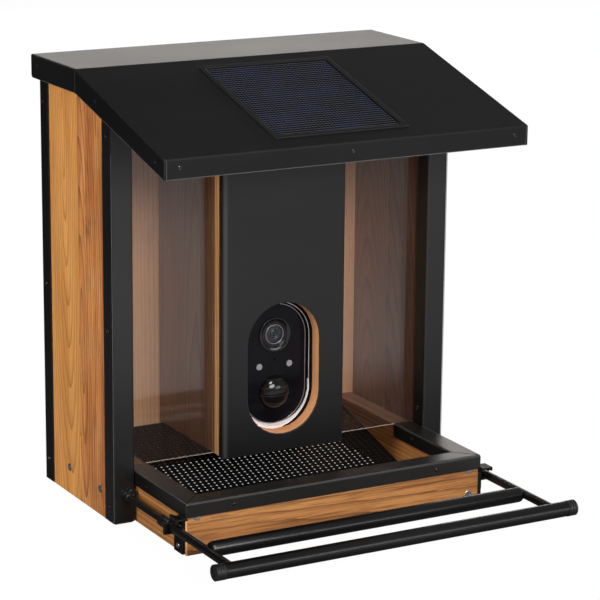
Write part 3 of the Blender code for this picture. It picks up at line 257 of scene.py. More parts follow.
def coated(name, colour, rough, grain=1900, dust=0.5, level=0.30, edge=0.0005, fold_highlight=None):
    """Powder-coated or moulded black: a fine pebbled skin, uneven gloss, handling haze, a few
    specks of dust, and edges painted lighter, partly as rubbed wear and partly as a painted
    highlight where the folds catch the light. Level is the strength of its reflections, edge the
    radius of its soft edges, and fold_highlight gives the start, middle and end along X of a
    painted highlight band beside a fold."""
    finish = Finish(name, Specular_IOR_Level=level)
    pebble = finish.noise(finish.place, grain, 2.0, 0.55)
    haze = finish.noise(finish.moved(finish.place, scale=(0.45, 1, 1)), 12, 3.0, 0.5, 0.1)
    speck = finish.sums("MULTIPLY", finish.specks(105.0, 0.020, 0.034, 0.80, 0.84), dust)
    tone = finish.mix(finish.between(haze, 0.35, 0.75), rgb(*colour), scaled(colour, 1.7, 0.001))
    # Edges painted lighter: partly rubbed wear, partly a painted highlight where the folds catch the
    # light.
    rounded = finish.add("Bevel", {"Radius": edge}, samples=4).outputs[0]
    flat = finish.add("NewGeometry").outputs["Normal"]
    bent = finish.add("VectorMath", {0: rounded, 1: flat}, operation="DOT_PRODUCT").outputs["Value"]
    rubbed_and_highlit = finish.between(bent, 0.995, 0.86, 0.0, 0.8)
    tone = finish.mix(rubbed_and_highlit, tone, scaled(colour, 4.0, 0.03))
    tone = finish.mix(speck, tone, rgb(0.42, 0.38, 0.34))
    # Painted highlight: a paler band beside the cover's left fold, standing in for the light that
    # its bend catches.
    if fold_highlight:
        across = finish.split(finish.place)[0]
        start, middle, end = fold_highlight
        soft = finish.sums("MULTIPLY", finish.between(across, start, middle),
                           finish.between(across, middle, end, 1.0, 0.0))
        tone = finish.mix(soft, tone, rgb(0.038, 0.038, 0.039))
    finish.colour(tone)
    finish.roughness(finish.between(haze, 0.3, 0.75, rough - 0.015, rough + 0.025))
    finish.bumped(pebble, 0.00006, 0.6, edge)
    return finish.material


def metal(name, colour, rough, pure=1.0):
    """Brushed metal with faint stains."""
    finish = Finish(name, Metallic=pure)
    scratch = finish.noise(finish.moved(finish.place, scale=(1, 1, 0.02)), 2400, 3.0, 0.6)
    darkening = finish.noise(finish.place, 160, 2.0, 0.5)
    finish.colour(finish.mix(finish.between(darkening, 0.3, 0.8), rgb(*colour), scaled(colour, 0.72)))
    finish.roughness(finish.between(scratch, 0.25, 0.8, rough, rough + 0.12))
    finish.bumped(scratch, 0.00002, 0.3, 0.0002)
    return finish.material


def tinted_pane():
    """Rose-brown smoked plastic: clear, polished, with wipe marks and dust."""
    finish = Finish("tinted_pane", Alpha=0.23, Coat_Weight=1.0, Coat_IOR=1.99, Coat_Roughness=0.015)
    wiped = finish.moved(finish.place, rotation=(0, 0.25, 0), scale=(1, 1, 0.30))
    wipe = finish.noise(wiped, 26, 3.0, 0.55, 0.6)
    sheen = finish.noise(finish.moved(finish.place, scale=(1, 1, 0.05)), 240, 2.0, 0.5)
    speck = finish.specks(130.0, 0.035, 0.055, 0.78, 0.80)
    tone = finish.mix(finish.between(wipe, 0.3, 0.75), rgb(0.030, 0.022, 0.020),
                      rgb(0.048, 0.036, 0.033))
    tone = finish.mix(finish.between(sheen, 0.4, 0.7, 0.0, 0.35), tone, rgb(0.075, 0.052, 0.044))
    finish.colour(finish.mix(speck, tone, rgb(0.60, 0.52, 0.46)))
    finish.roughness(finish.between(wipe, 0.3, 0.7, 0.10, 0.22))
    finish.bumped(finish.noise(finish.place, 14, 1.0, 0.4), 0.0002, 0.15)
    return finish.material


def gloss(name, colour, rough, level=0.5, alpha=1.0):
    """Polished plastic or glass with hairline scratches."""
    finish = Finish(name, Specular_IOR_Level=level, Alpha=alpha)
    rubbed = finish.moved(finish.place, rotation=(0, 0.6, 0), scale=(1, 1, 0.03))
    scratch = finish.noise(rubbed, 900, 2.0, 0.6)
    slow = finish.noise(finish.place, 60, 2.0, 0.5)
    finish.colour(finish.mix(finish.between(slow, 0.3, 0.8), rgb(*colour),
                             scaled(colour, 1.6, 0.001)))
    finish.roughness(finish.between(scratch, 0.45, 0.8, rough, rough + 0.10))
    finish.bumped(slow, 0.00004, 0.4, 0.0002)
    return finish.material


def solar_weave():
    """Navy cells under matt cover sheet: a close net of pale fingers over uneven blue."""
    finish = Finish("solar_weave", Specular_IOR_Level=0.005)
    parts = finish.split(finish.moved(finish.place, rotation=(-ROOF_SLOPE, 0, 0)))

    def lines(value, pitch, width):
        saw = finish.sums("FRACT", finish.sums("DIVIDE", value, pitch))
        away = finish.sums("ABSOLUTE", finish.sums("SUBTRACT", saw, 0.5))
        return finish.between(away, width, width * 0.55)

    across = lines(parts[1], 0.00330, 0.085)
    along = lines(parts[0], 0.00255, 0.085)
    knots = finish.sums("MULTIPLY", across, along)
    cloud = finish.noise(finish.moved(finish.place, scale=(1, 1.6, 1)), 34, 2.0, 0.5, 0.3)
    fine = finish.noise(finish.place, 700, 2.0, 0.5)
    tone = finish.mix(finish.between(cloud, 0.38, 0.64), rgb(0.0006, 0.0007, 0.0022),
                      rgb(0.0030, 0.0046, 0.0240))
    tone = finish.mix(finish.sums("MULTIPLY", along, 0.60), tone, rgb(0.080, 0.081, 0.094))
    broken = finish.between(fine, 0.3, 0.6, 0.60, 0.95)
    tone = finish.mix(finish.sums("MULTIPLY", across, broken), tone, rgb(0.155, 0.155, 0.170))
    tone = finish.mix(finish.sums("MULTIPLY", knots, 0.60), tone, rgb(0.45, 0.45, 0.47))
    finish.colour(tone)
    finish.roughness(finish.between(fine, 0.3, 0.7, 0.38, 0.52))
    finish.bumped(finish.sums("ADD", across, along), 0.0001, 0.5)
    return finish.material


def frosted(name, colour):
    """Fine-grained plastic under a clear skin."""
    finish = Finish(name, Coat_Weight=0.4, Coat_Roughness=0.15)
    grit = finish.noise(finish.place, 1400, 2.0, 0.6)
    finish.colour(finish.mix(finish.between(grit, 0.3, 0.7), rgb(*colour), scaled(colour, 0.6)))
    finish.roughness(finish.between(grit, 0.3, 0.7, 0.25, 0.45))
    finish.bumped(grit, 0.00004, 0.5)
    return finish.material


def faceted_dome():
    """Dark polished dome whose inner face carries the bands of a moulded multi-lens."""
    finish = Finish("faceted_dome", Specular_IOR_Level=0.08, Coat_Weight=0.36, Coat_IOR=1.5,
                    Coat_Roughness=0.02)
    parts = finish.split(finish.place)
    ring = finish.sums("SINE", finish.sums("MULTIPLY", parts[2], 1050.0))
    column = finish.sums("SINE", finish.sums("MULTIPLY", parts[0], 950.0))
    bands = finish.sums("ADD", ring, finish.sums("MULTIPLY", column, 0.5))
    finish.colour(finish.mix(finish.between(ring, 0.80, 1.0, 0.0, 0.6),
                             rgb(0.006, 0.0058, 0.006), rgb(0.026, 0.024, 0.024)))
    finish.roughness(finish.between(bands, -1.0, 1.0, 0.05, 0.10))
    finish.bumped(bands, 0.00005, 0.25)
    return finish.material


def studio_floor():
    """Pale light table: glows evenly to the eye, and lights the feeder from the front only."""
    finish = Finish("studio_floor", Roughness=0.9, Specular_IOR_Level=0.05,
                    Emission_Color=rgb(1, 1, 1))
    grain = finish.noise(finish.place, 6.0, 2.0, 0.5)
    finish.colour(finish.mix(grain, rgb(0.030, 0.030, 0.030), rgb(0.040, 0.040, 0.040)))
    parts = finish.split(finish.place)
    near = finish.between(parts[1], -0.16, -0.26, 0.08, 0.95)
    near = finish.sums("MULTIPLY", near, finish.between(parts[0], 0.32, 0.60, 1.0, 0.45))
    near = finish.sums("MULTIPLY", near, finish.between(parts[0], -0.22, -0.45, 1.0, 0.42))
    seen = finish.add("LightPath").outputs["Is Camera Ray"]
    glow = finish.add("Mix", {0: seen, 2: near, 3: 0.97}, data_type="FLOAT").outputs[0]
    finish.feed(finish.shader.inputs["Emission Strength"], glow)
    return finish.material


# Pieces

def new_piece(name, vertices, faces, material, body, slot, smooth=35):
    """A piece that rides a body. Faces that meet at less than smooth degrees shade as one."""
    mesh = bpy.data.meshes.new(name)
    mesh.from_pydata([tuple(v) for v in vertices], [], faces)
    solid = bmesh.new()
    solid.from_mesh(mesh)
    bmesh.ops.recalc_face_normals(solid, faces=solid.faces[:])
    solid.to_mesh(mesh)
    solid.free()
    mesh.materials.append(material)
    if smooth:
        mesh.shade_smooth()
        mesh.set_sharp_from_angle(angle=math.radians(smooth))
    piece = bpy.data.objects.new(name, mesh)
    bpy.context.scene.collection.objects.link(piece)
    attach(piece, body)
    return piece


def wall(rings, count, looped=False):
    """Faces between each ring of corners and the next, and from the last to the first if looped."""
    faces = []
    for ring in range(rings if looped else rings - 1):
        low, high = ring * count, (ring + 1) % rings * count
        for step in range(count):
            after = (step + 1) % count
            faces.append((low + step, low + after, high + after, high + step))
    return faces


def ends(rings, count):
    """Faces that close the first and the last ring of corners."""
    return [tuple(range(count)), tuple(reversed(range((rings - 1) * count, rings * count)))]


def swept(profile, axis, centre, steps):
    """Corners of a turned form. The profile lists (place along the axis, radius) in millimetres,
    and the centre is the drawing's point on the two other axes."""
    vertices = []
    for along, radius in profile:
        for step in range(steps):
            angle = 2 * math.pi * step / steps
            across, up = radius * math.cos(angle), radius * math.sin(angle)
            if axis == "X":
                vertices.append(at(along, centre[0] + across, centre[1] + up))
            else:
                vertices.append(at(centre[0] + across, along, centre[1] + up))
    return vertices


def turned(profile, axis, centre, steps=64):
    """Vertices and faces of a turned form that is closed at both ends."""
    faces = wall(len(profile), steps) + ends(len(profile), steps)
    return swept(profile, axis, centre, steps), faces


def ringed(profile, axis, centre, steps=64):
    """As turned, for a profile that closes on itself round a bore."""
    return swept(profile, axis, centre, steps), wall(len(profile), steps, looped=True)


def domed(back, rim, radius, bulge, rings):
    """Profile of a shallow dome that starts at its back and ends just before its middle. A rim
    that lies at the back isn't listed twice."""
    profile = [(back, radius)]
    for ring in range(1 if rim == back else 0, rings):
        angle = math.pi / 2 * (1 - ring / rings)
        profile.append((rim - bulge * math.cos(angle), radius * math.sin(angle)))
    return profile


def joined(forms):
    """Several forms as one."""
    vertices, faces = [], []
    for more, more_faces in forms:
        start = len(vertices)
        vertices += more
        faces += [tuple(index + start for index in face) for face in more_faces]
    return vertices, faces


# Faces of a bar whose corners go once round its start and then once round its end
BAR_FACES = [(0, 1, 2, 3), (7, 6, 5, 4), (0, 4, 5, 1), (1, 5, 6, 2), (2, 6, 7, 3), (3, 7, 4, 0)]


def slab(x_span, y_span, z_span):
    """A thin strip between two corners of the drawing."""
    vertices = [at(x, y, z) for z in z_span for y in y_span for x in x_span]
    faces = [(0, 1, 3, 2), (4, 6, 7, 5), (0, 4, 5, 1), (2, 3, 7, 6), (0, 2, 6, 4), (1, 5, 7, 3)]
    return vertices, faces


def screw(place, normal, radius, height, turn=0.2, flush=False):
    """Head of a cross-recess screw: crowned or flat, with a sunk cross whose arms taper."""
    normal = Vector(normal).normalized()
    side = normal.orthogonal().normalized()
    other = normal.cross(side)
    arm = radius * (0.62 if flush else 0.55)
    half_angle = 15
    half = arm * math.tan(math.radians(half_angle))
    cross = []
    for quarter in range(4):
        angle = quarter * math.pi / 2 + turn
        for along, across in ((arm, -half), (arm, half), (half, half)):
            cross.append((along * math.cos(angle) - across * math.sin(angle),
                          along * math.sin(angle) + across * math.cos(angle)))

    def ring(reach, lift):
        points = []
        for quarter in range(4):
            for degrees in (-half_angle, half_angle, 45):
                angle = quarter * math.pi / 2 + math.radians(degrees) + turn
                points.append((reach * math.cos(angle), reach * math.sin(angle), lift))
        return points

    shoulder, crown = (0.6, 0.0) if flush else (0.35, 0.30)
    rings = [ring(radius, 0.0), ring(radius, height * shoulder),
             ring(radius * 0.93, height * (1 - crown)), ring(radius * 0.74, height)]
    rings.append([(x, y, height) for x, y in cross])
    rings.append([(x * 0.8, y * 0.8, height * 0.2) for x, y in cross])
    vertices = []
    for points in rings:
        for x, y, lift in points:
            vertices.append(place + (side * x + other * y + normal * lift) * MM)
    base, sunk_cross = ends(len(rings), len(cross))
    return vertices, wall(len(rings), len(cross)) + [sunk_cross[::-1], base[::-1]]


def mirrored(x, y, z, normal, *size, **more):
    """The same screw on both sides, each turned in its own way."""
    return [screw(at(side * x, y, z), (side * normal[0], normal[1], normal[2]), *size,
                  turn=0.35 + 1.1 * side * (y % 1.7), **more) for side in (-1, 1)]


OUTWARD, INWARD, FORWARD = (1, 0, 0), (-1, 0, 0), (0, -1, 0)


def make_screws(black, silver):
    """Heads of the small black screws in sheets and roof, and of the silver ones in the wood."""
    trims = []
    for y, heights in ((119.7, (301.0, 159.2, 18.4)), (7.6, (292.8, 147.7, 12.5))):
        for z in heights:
            trims += mirrored(WALL_X, y, z, OUTWARD, 1.75, 0.75)
    for x, y, z, normal, radius, height in (
            (52.3, 3.2, 246.2, OUTWARD, 1.2, 0.4),           # column cover
            (52.3, 3.2, 100.6, OUTWARD, 1.2, 0.4),
            (125.3, 8.6, 52.9, INWARD, 1.7, 0.6),            # posts, beside the panes
            (TRAY_X, -19.6, 33.3, OUTWARD, 1.6, 0.6),        # tray rim, outside
            (107.8, -12.0, 34.5, INWARD, 1.6, 0.5),          # tray rim, inside
            (85.9, TRAY_FRONT_Y, 33.6, FORWARD, 1.75, 0.75),
            (127.1, -79.2, 22.6, OUTWARD, 1.6, 0.7)):        # perch brackets
        trims += mirrored(x, y, z, normal, radius, height)
    new_piece("trim_screws", *joined(trims), black, "housing", "black_sheet", 25)
    roof = []
    for y, z in ((117.1, 328.3), (12.0, 317.7), (-86.0, 290.9)):
        roof += mirrored(ROOF_X, y, z, OUTWARD, 1.6, 0.28)
    roof += mirrored(136.8, ROOF_FRONT_Y, 288.3, FORWARD, 1.75, 0.7)
    roof.append(screw(at(0, ROOF_FRONT_Y, 288.3), FORWARD, 1.75, 0.7))
    new_piece("roof_screws", *joined(roof), black, "lid", "black_sheet", 25)
    bright = []
    for y, z in ((82.7, 21.6), (26.6, 20.8)):
        bright += mirrored(141.4, y, z, OUTWARD, 3.1, 0.35, flush=True)
    for z, height in ((29.0, 0.25), (9.6, 0.3)):
        bright += mirrored(115.5, -83.5, z, FORWARD, 3.1, height, flush=True)
    bright += mirrored(127.1, -76.0, 6.6, OUTWARD, 1.9, 0.8)
    new_piece("wood_screws", *joined(bright), silver, "housing", "steel", 25)


def floor_height(y):
    """Top of the tray's floor: flat in front, then rising towards the back."""
    return max(2.5, 7.8 + 0.26 * y)


def make_mesh_floor(material):
    """The floor's fine perforation: one sheet, bent once, with a straight grid of round holes."""
    half_width, front, back, least_border = 108.6, -68.2, 110.9, 2.0
    pitch_x, pitch_y, radius, sides, thick = 5.05, 3.82, 1.24, 12, 1.0
    columns = int((2 * half_width - 2 * least_border) // pitch_x)
    rows = int((back - front - 2 * least_border) // pitch_y)
    start_x = -columns * pitch_x / 2
    start_y = (front + back - rows * pitch_y) / 2
    xs = [-half_width] + [start_x + c * pitch_x for c in range(columns + 1)] + [half_width]
    ys = [front] + [start_y + r * pitch_y for r in range(rows + 1)] + [back]
    vertices, faces = [], []

    def corner(x, y, drop):
        vertices.append(at(x, y, floor_height(y) - drop))
        return len(vertices) - 1

    layers = []
    for drop in (0.0, thick):
        grid = [[corner(x, y, drop) for x in xs] for y in ys]
        loops = []
        for r in range(rows + 2):
            for c in range(columns + 2):
                box = [grid[r + 1][c + 1], grid[r + 1][c], grid[r][c], grid[r][c + 1]]
                if r in (0, rows + 1) or c in (0, columns + 1):
                    faces.append(tuple(box))
                    continue
                middle_x = (xs[c] + xs[c + 1]) / 2
                middle_y = (ys[r] + ys[r + 1]) / 2
                ring = []
                for step in range(sides):
                    angle = 2 * math.pi * (step + 0.5) / sides
                    ring.append(corner(middle_x + radius * math.cos(angle),
                                       middle_y + radius * math.sin(angle), drop))
                for quarter in range(4):
                    first = quarter * sides // 4
                    for step in (first, first + 1):
                        faces.append((ring[step], ring[step + 1], box[quarter]))
                    faces.append((ring[first + 2], ring[(first + 3) % sides],
                                  box[(quarter + 1) % 4], box[quarter]))
                loops.append(ring)
        loops.append(grid[0] + [row[-1] for row in grid[1:]] + grid[-1][-2::-1]
                     + [row[0] for row in grid[-2:0:-1]])
        layers.append(loops)
    for top, bottom in zip(*layers):
        for step in range(len(top)):
            after = (step + 1) % len(top)
            faces.append((top[step], top[after], bottom[after], bottom[step]))
    piece = new_piece("fine_perforated_floor", vertices, faces, material, "housing",
                      "black_sheet", 0)
    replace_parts(piece, "perforated_floor")


def cap_profile():
    """End cap of the outer bar: three grooves between four ribs, and a dished face."""
    profile = [(CAP_START, CAP_RADIUS)]
    ribs = 4
    for rib in range(ribs):
        low = CAP_START + rib * CAP_LENGTH / (ribs - 0.5)
        high = low + CAP_LENGTH / (2 * ribs - 1)
        is_last = rib == ribs - 1
        if rib:
            profile += [(low, CAP_GROOVE_RADIUS), (low + 0.1, CAP_RADIUS)]
        profile.append((high - (0.5 if is_last else 0.12), CAP_RADIUS))
        if not is_last:
            profile.append((high, CAP_GROOVE_RADIUS))
    face = CAP_START + CAP_LENGTH
    return profile + [(face, 5.35), (face, 4.5), (148.55, 4.2), (148.2, 4.05), (148.2, 1.6),
                      (148.6, 1.4)]


def make_perch(black, moulded):
    """Smooth tubes and bars in place of the faceted ones, and end caps with a dished face."""
    for name, side in SIDES:
        axis = (side * ARM_X, ARM_Z)
        arm = ringed([(-169.0, 3.0), (-168.8, 3.2), (-66.2, 3.2), (-66.0, 3.0), (-66.0, 2.8),
                      (-169.0, 2.8)], "Y", axis, 48)
        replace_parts(new_piece(f"smooth_arm_{name}", *arm, black, "perch", "black_sheet"),
                    f"perch_arm_{name}")
        bush = ringed([(-74.5, 3.75), (-74.2, 4.1), (-71.6, 4.1), (-71.4, 3.85), (-70.9, 3.85),
                       (-70.7, 4.1), (-61.3, 4.1), (-61.0, 3.8), (-61.0, 3.5), (-74.5, 3.5)],
                      "Y", axis, 48)
        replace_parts(new_piece(f"smooth_bush_{name}", *bush, moulded, "housing", "bush_black"),
                    f"perch_bush_{name}")
        profile = [(side * along, radius) for along, radius in cap_profile()]
        cap = turned(profile, "X", (OUTER_BAR_Y, ARM_Z))
        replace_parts(new_piece(f"dished_cap_{name}", *cap, moulded, "perch", "bush_black", 28),
                    f"bar_cap_{name}")
    for name, side in SIDES:
        x = side * ARM_X
        foot = (x - side * 4.2, 24.2)
        guide = turned([(-82.0, 2.1), (-81.7, 2.4), (-7.4, 2.4), (-7.1, 2.6), (-6.9, 3.3),
                        (-2.0, 3.3), (-1.7, 3.6), (-0.6, 3.6)], "Y", (x, ARM_Z), 40)
        eye = ringed([(-3.6, 1.2), (-3.6, 3.0), (-3.3, 3.3), (-0.7, 3.3), (-0.7, 1.2)],
                     "Y", foot, 32)
        pin = turned([(-3.2, 1.3), (-3.4, 0.9), (-3.4, 0.3)], "Y", foot, 24)
        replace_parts(new_piece(f"smooth_guide_{name}", *joined([guide, eye, pin]), moulded,
                              "housing", "black_sheet"), f"perch_guide_{name}")
    rounded = [(127.6, 5.7), (128.9, 5.35), (130.0, 4.7), (130.8, 3.8), (131.2, 2.6)]
    inner = [(-along, radius) for along, radius in rounded[::-1]] + rounded
    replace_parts(new_piece("smooth_inner_bar", *turned(inner, "X", (INNER_BAR_Y, ARM_Z), 72), black,
                          "perch", "black_sheet"), "perch_inner_bar")
    outer = turned([(-141.0, 5.45), (-140.8, 5.7), (140.8, 5.7), (141.0, 5.45)],
                   "X", (OUTER_BAR_Y, ARM_Z), 72)
    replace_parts(new_piece("smooth_outer_bar", *outer, black, "perch", "black_sheet"),
                "perch_outer_bar")


def make_lens(gloss_black, ring_metal, iris, pupil, glint, teal_reflection):
    """Stepped lens: ribbed throat, thin bright ring, iris plate and pupil, behind a clear front. The
    small rings round the pupil carry a painted teal reflection, and a teal bead beside the pupil is
    a painted glint.
    """
    centre = (0, LENS_Z)
    funnel = ringed([(14.0, 13.3), (18.6, 13.3), (18.6, 8.1), (16.3, 7.5), (15.9, 7.9), (15.7, 8.3),
                     (15.7, 8.7), (15.3, 8.9), (15.3, 9.5), (14.9, 9.7), (14.9, 10.3),
                     (14.45, 10.7), (14.25, 11.3), (14.05, 12.3), (14.0, 12.6)],
                    "Y", centre, 96)
    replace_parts(new_piece("stepped_lens_ring", *funnel, gloss_black, "housing", "gloss_black", 20),
                "lens_ring")
    teeth, count = [], 60
    for tooth in range(count):
        angle = 2 * math.pi * tooth / count
        points = []
        for reach, depth in ((9.75, 14.82), (10.65, 14.38), (10.65, 14.58), (9.75, 14.94)):
            for swing in (-0.014, 0.014):
                points.append(at(reach * math.cos(angle + swing), depth,
                                 reach * math.sin(angle + swing) + LENS_Z))
        teeth.append((points, [(0, 1, 3, 2), (2, 3, 5, 4), (4, 5, 7, 6), (6, 7, 1, 0),
                               (0, 2, 4, 6), (1, 7, 5, 3)]))
    new_piece("lens_ribs", *joined(teeth), gloss_black, "housing", "gloss_black", 0)
    rings = []
    for radius, depth, width in ((7.75, 15.10, 0.55), (4.35, 16.30, 0.30), (2.35, 15.95, 0.25)):
        bore, crest, foot = radius - width, depth - 0.14, depth + 0.5
        rings.append(ringed([(depth, bore), (crest, radius - width * 0.75),
                             (crest, radius - width * 0.25), (depth, radius), (foot, radius),
                             (foot, bore)], "Y", centre, 96))
    new_piece("lens_bright_ring", *rings[0], ring_metal, "housing", "chrome")
    new_piece("lens_element_rings", *joined(rings[1:]), teal_reflection, "housing", "lens")
    edge = ringed([(13.98, 13.0), (13.86, 13.1), (13.86, 13.28), (13.98, 13.38), (14.6, 13.38),
                   (14.6, 13.0)], "Y", centre, 96)
    new_piece("lens_edge_ring", *edge, gloss_black, "housing", "gloss_black")
    plate = turned([(18.2, 7.45), (16.9, 7.45), (16.8, 7.2), (16.75, 4.6), (16.45, 4.4),
                    (16.4, 3.9), (16.7, 3.5), (16.7, 0.4)], "Y", centre, 96)
    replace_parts(new_piece("iris_plate", *plate, iris, "housing", "lens", 20), "lens_glass")
    bulb = turned([(16.7, 2.9), (16.45, 2.75), (16.2, 2.4), (16.05, 1.8), (15.97, 1.1),
                   (15.95, 0.5)], "Y", centre, 64)
    new_piece("lens_pupil", *bulb, pupil, "housing", "lens")
    # Painted glint: a small teal bead up and to the left of the pupil.
    bead = turned([(16.3, 1.05), (16.1, 1.0), (15.9, 0.75), (15.8, 0.4)], "Y", (-1.0, 129.2), 32)
    new_piece("lens_glint_bead", *bead, teal_reflection, "housing", "lens", 60)
    new_piece("lens_front", *turned(domed(15.9, 15.9, 7.4, 0.75, 9), "Y", centre, 96), glint,
              "housing", "lens")


def bezel_point(degrees, inset, lift):
    """A point on the sloping bezel's lower half, by its angle and its inset from the outer rim."""
    reach = FACE_RADIUS - inset
    slope = min(max((inset - 0.9) / 1.6, 0), 1)
    angle = math.radians(degrees)
    return at(reach * math.cos(angle), 12.4 + 2.5 * slope - lift,
              FACE_LOW_Z + reach * math.sin(angle))


def stadium_ring(outer, inner, outer_y, inner_y, back_y, steps=40):
    """Ring round the camera's face between two insets from its outer rim."""
    vertices = []
    for inset, y in ((outer, outer_y), (inner, inner_y), (inner, back_y), (outer, back_y)):
        reach = FACE_RADIUS - inset
        for start, centre_z in ((0, FACE_TOP_Z), (math.pi, FACE_LOW_Z)):
            for step in range(steps + 1):
                angle = start + math.pi * step / steps
                vertices.append(at(reach * math.cos(angle), y, centre_z + reach * math.sin(angle)))
    return vertices, wall(4, 2 * (steps + 1), looped=True)


def make_rims(black, bright, grey):
    """Camera rim: a black outer band, a thin bright lip ahead of it, a thin grey line inside."""
    band = new_piece("camera_rim_band", *stadium_ring(0, 0.7, 12.65, 12.5, 16.1), black,
                     "housing", "gloss_black")
    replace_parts(band, "camera_rim_outer")
    new_piece("camera_rim_lip", *stadium_ring(0.72, 1.2, 12.42, 12.42, 15.8), bright,
              "housing", "chrome")
    line = new_piece("camera_rim_line", *stadium_ring(2.8, 3.28, 14.82, 14.82, 16.1), grey,
                     "housing", "chrome")
    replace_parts(line, "camera_rim_inner")


def make_bezel_reflection(material):
    """Painted reflection: a white crescent on the bezel's lower lip, standing in for the bright
    chrome's reflection; widest at the foot, it narrows up both sides.
    """
    vertices = []
    steps, low, high = 48, 182.0, 372.0
    for step in range(steps + 1):
        share = step / steps
        full = math.sin(math.pi * share) ** 0.4
        outer = 0.72 - 1.5 * min(max(1.0 - abs(share - 0.36) / 0.34, 0.0) * 1.6, 1.0)
        inner = 1.2 + 1.45 * full * (1 - 0.5 * min(max((share - 0.5) / 0.2, 0.0), 1.0))
        degrees = low + (high - low) * share
        vertices += [bezel_point(degrees, inset, lift) for inset, lift in
                     ((outer, 0.1), (1.25, 0.63), (inner, 0.08), (inner, -0.3), (outer, -0.3))]
    new_piece("bezel_reflection", vertices, wall(steps + 1, 5) + ends(steps + 1, 5), material,
              "housing", "chrome", 20)


def make_gap_shadow(material):
    """Painted shadow: a black band in the gap between the camera's right side and the wall of its
    cut-out, where shade falls.
    """
    path = [(FACE_LOW_Z, 282.0 + 78.0 * step / 24) for step in range(25)]
    path += [(FACE_TOP_Z, 100.0 * step / 30) for step in range(31)]
    outer, inner, back = 30.82, 29.7, 15.8
    vertices = []
    for index, (height, degrees) in enumerate(path):
        angle = math.radians(degrees)
        fade = min(index, len(path) - 1 - index) / 5
        front = 12.3 - 1.4 * min(fade, 1.0)
        for reach, y in ((outer, front), (inner, front + 0.2), (inner, back), (outer, back)):
            vertices.append(at(reach * math.cos(angle), y, height + reach * math.sin(angle)))
    new_piece("camera_gap_shadow", vertices, wall(len(path), 4) + ends(len(path), 4), material,
              "housing", "gloss_black", 30)


def make_dome(material, collar_material):
    """Motion sensor's dome, and the low collar that it sits in."""
    centre = (0, DOME_Z)
    dome = turned(domed(16.1, 14.9, 12.9, 7.2, 17), "Y", centre, 96)
    piece = new_piece("smooth_sensor_dome", *dome, material, "housing", "dome", 60)
    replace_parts(piece, "motion_sensor_dome")
    collar = ringed([(14.9, 13.05), (14.72, 13.15), (14.72, 13.45), (14.9, 13.6), (15.4, 13.6),
                     (15.4, 13.05)], "Y", centre, 96)
    new_piece("sensor_collar", *collar, collar_material, "housing", "gloss_black")


def make_pane_feet(material):
    """Painted highlight: pale strips at the windows' lower edges, standing in for the light that the
    polished edges catch above the tray.
    """
    feet = [slab(sorted((side * 47.6, side * 124.9)), (15.3, 15.5), (39.3, 39.9))
            for side in (-1, 1)]
    new_piece("pane_edge_highlights", *joined(feet), material, "housing", "window", 0)


def bar(start, end, side, rise):
    """A thin bar between two points of the drawing, over two offsets in millimetres."""
    vertices = []
    for point in (start, end):
        for across, up in ((0, 0), (1, 0), (1, 1), (0, 1)):
            vertices.append(at(*[p + a * across + b * up for p, a, b in zip(point, side, rise)]))
    return vertices, BAR_FACES


def make_edge_highlights(light):
    """Painted highlights: pale strips along the edges of the folded sheets and the posts' front
    corners, where the folds catch the light and the paint is also rubbed thin.
    """
    lid = [bar((-146.4, -99.92, 294.36), (146.4, -99.92, 294.36), (0, 0.26, 0), (0, 0, 0.24)),
           bar((-147.2, -100.26, 280.2), (147.2, -100.26, 280.2), (0, 0.2, 0), (0, 0, 0.45))]
    for side in (-1, 1):
        x = side * 148.66
        for start, end in (((x, -98.6, 280.62), (x, 47.0, 318.0)),
                           ((x, 47.9, 318.12), (x, 125.6, 318.12))):
            lid.append(bar(start, end, (-side * 0.2, 0, 0), (0, 0, 0.3)))
    new_piece("roof_edge_highlights", *joined(lid), light, "lid", "black_sheet", 0)
    rim = [bar((-124.4, -84.35, 39.62), (124.4, -84.35, 39.62), (0, 0.3, 0), (0, 0, 0.24))]
    for side in (-1, 1):
        x = side * 124.75
        rim.append(bar((x, -83.9, 39.62), (x, -1.0, 39.62), (-side * 0.3, 0, 0), (0, 0, 0.24)))
    for side in (-1, 1):
        x = side * 142.56
        rim.append(bar((x, -0.06, 1.4), (x, -0.06, 280.0), (-side * 0.32, 0, 0), (0, 0.3, 0)))
    new_piece("rim_and_post_edge_highlights", *joined(rim), light, "housing", "black_sheet", 0)


def make_board_arris(material):
    """Pale strip along the left end of the tray's front board, at its corner."""
    new_piece("tray_board_arris", *slab((-124.95, -123.5), (-83.6, -83.4), (0.5, 28.4)), material,
              "housing", "warm_wood", 0)


def make_seams(dark, light):
    """Slits where flanges meet: at the roof's ridge and front corners, and on the tray's mitres,
    with painted highlight lines beside the roof's slits.
    """
    slits, bright, mitres = [], [], []
    for side in (-1, 1):
        flange = sorted((side * 148.62, side * 148.50))
        slits.append(slab(flange, (46.9, 47.5), (318.4, 334.6)))
        slits.append(slab(flange, (-99.2, -98.6), (280.6, 293.6)))
        slits.append(slab(sorted((side * 147.5, side * 146.9)), (-100.24, -100.1),
                          (280.4, 293.8)))
        # Painted highlight: a pale line beside each roof slit.
        bright.append(slab(sorted((side * 148.66, side * 148.50)), (47.5, 47.72),
                           (318.4, 334.4)))
        bright.append(slab(sorted((side * 146.9, side * 146.6)), (-100.28, -100.1),
                           (280.4, 293.8)))
        points = []
        for z in (39.9, 40.05):
            for along, across in ((0.4, -0.28), (16.8, -0.28), (16.8, 0.28), (0.4, 0.28)):
                points.append(at(side * (TRAY_X - along - across * 0.7),
                                 TRAY_FRONT_Y + along - across * 0.7, z))
        mitres.append((points, BAR_FACES))
    new_piece("roof_seams", *joined(slits), dark, "lid", "black_sheet", 0)
    new_piece("roof_seam_highlights", *joined(bright), light, "lid", "black_sheet", 0)
    new_piece("rim_mitres", *joined(mitres), dark, "housing", "black_sheet", 0)


# Studio

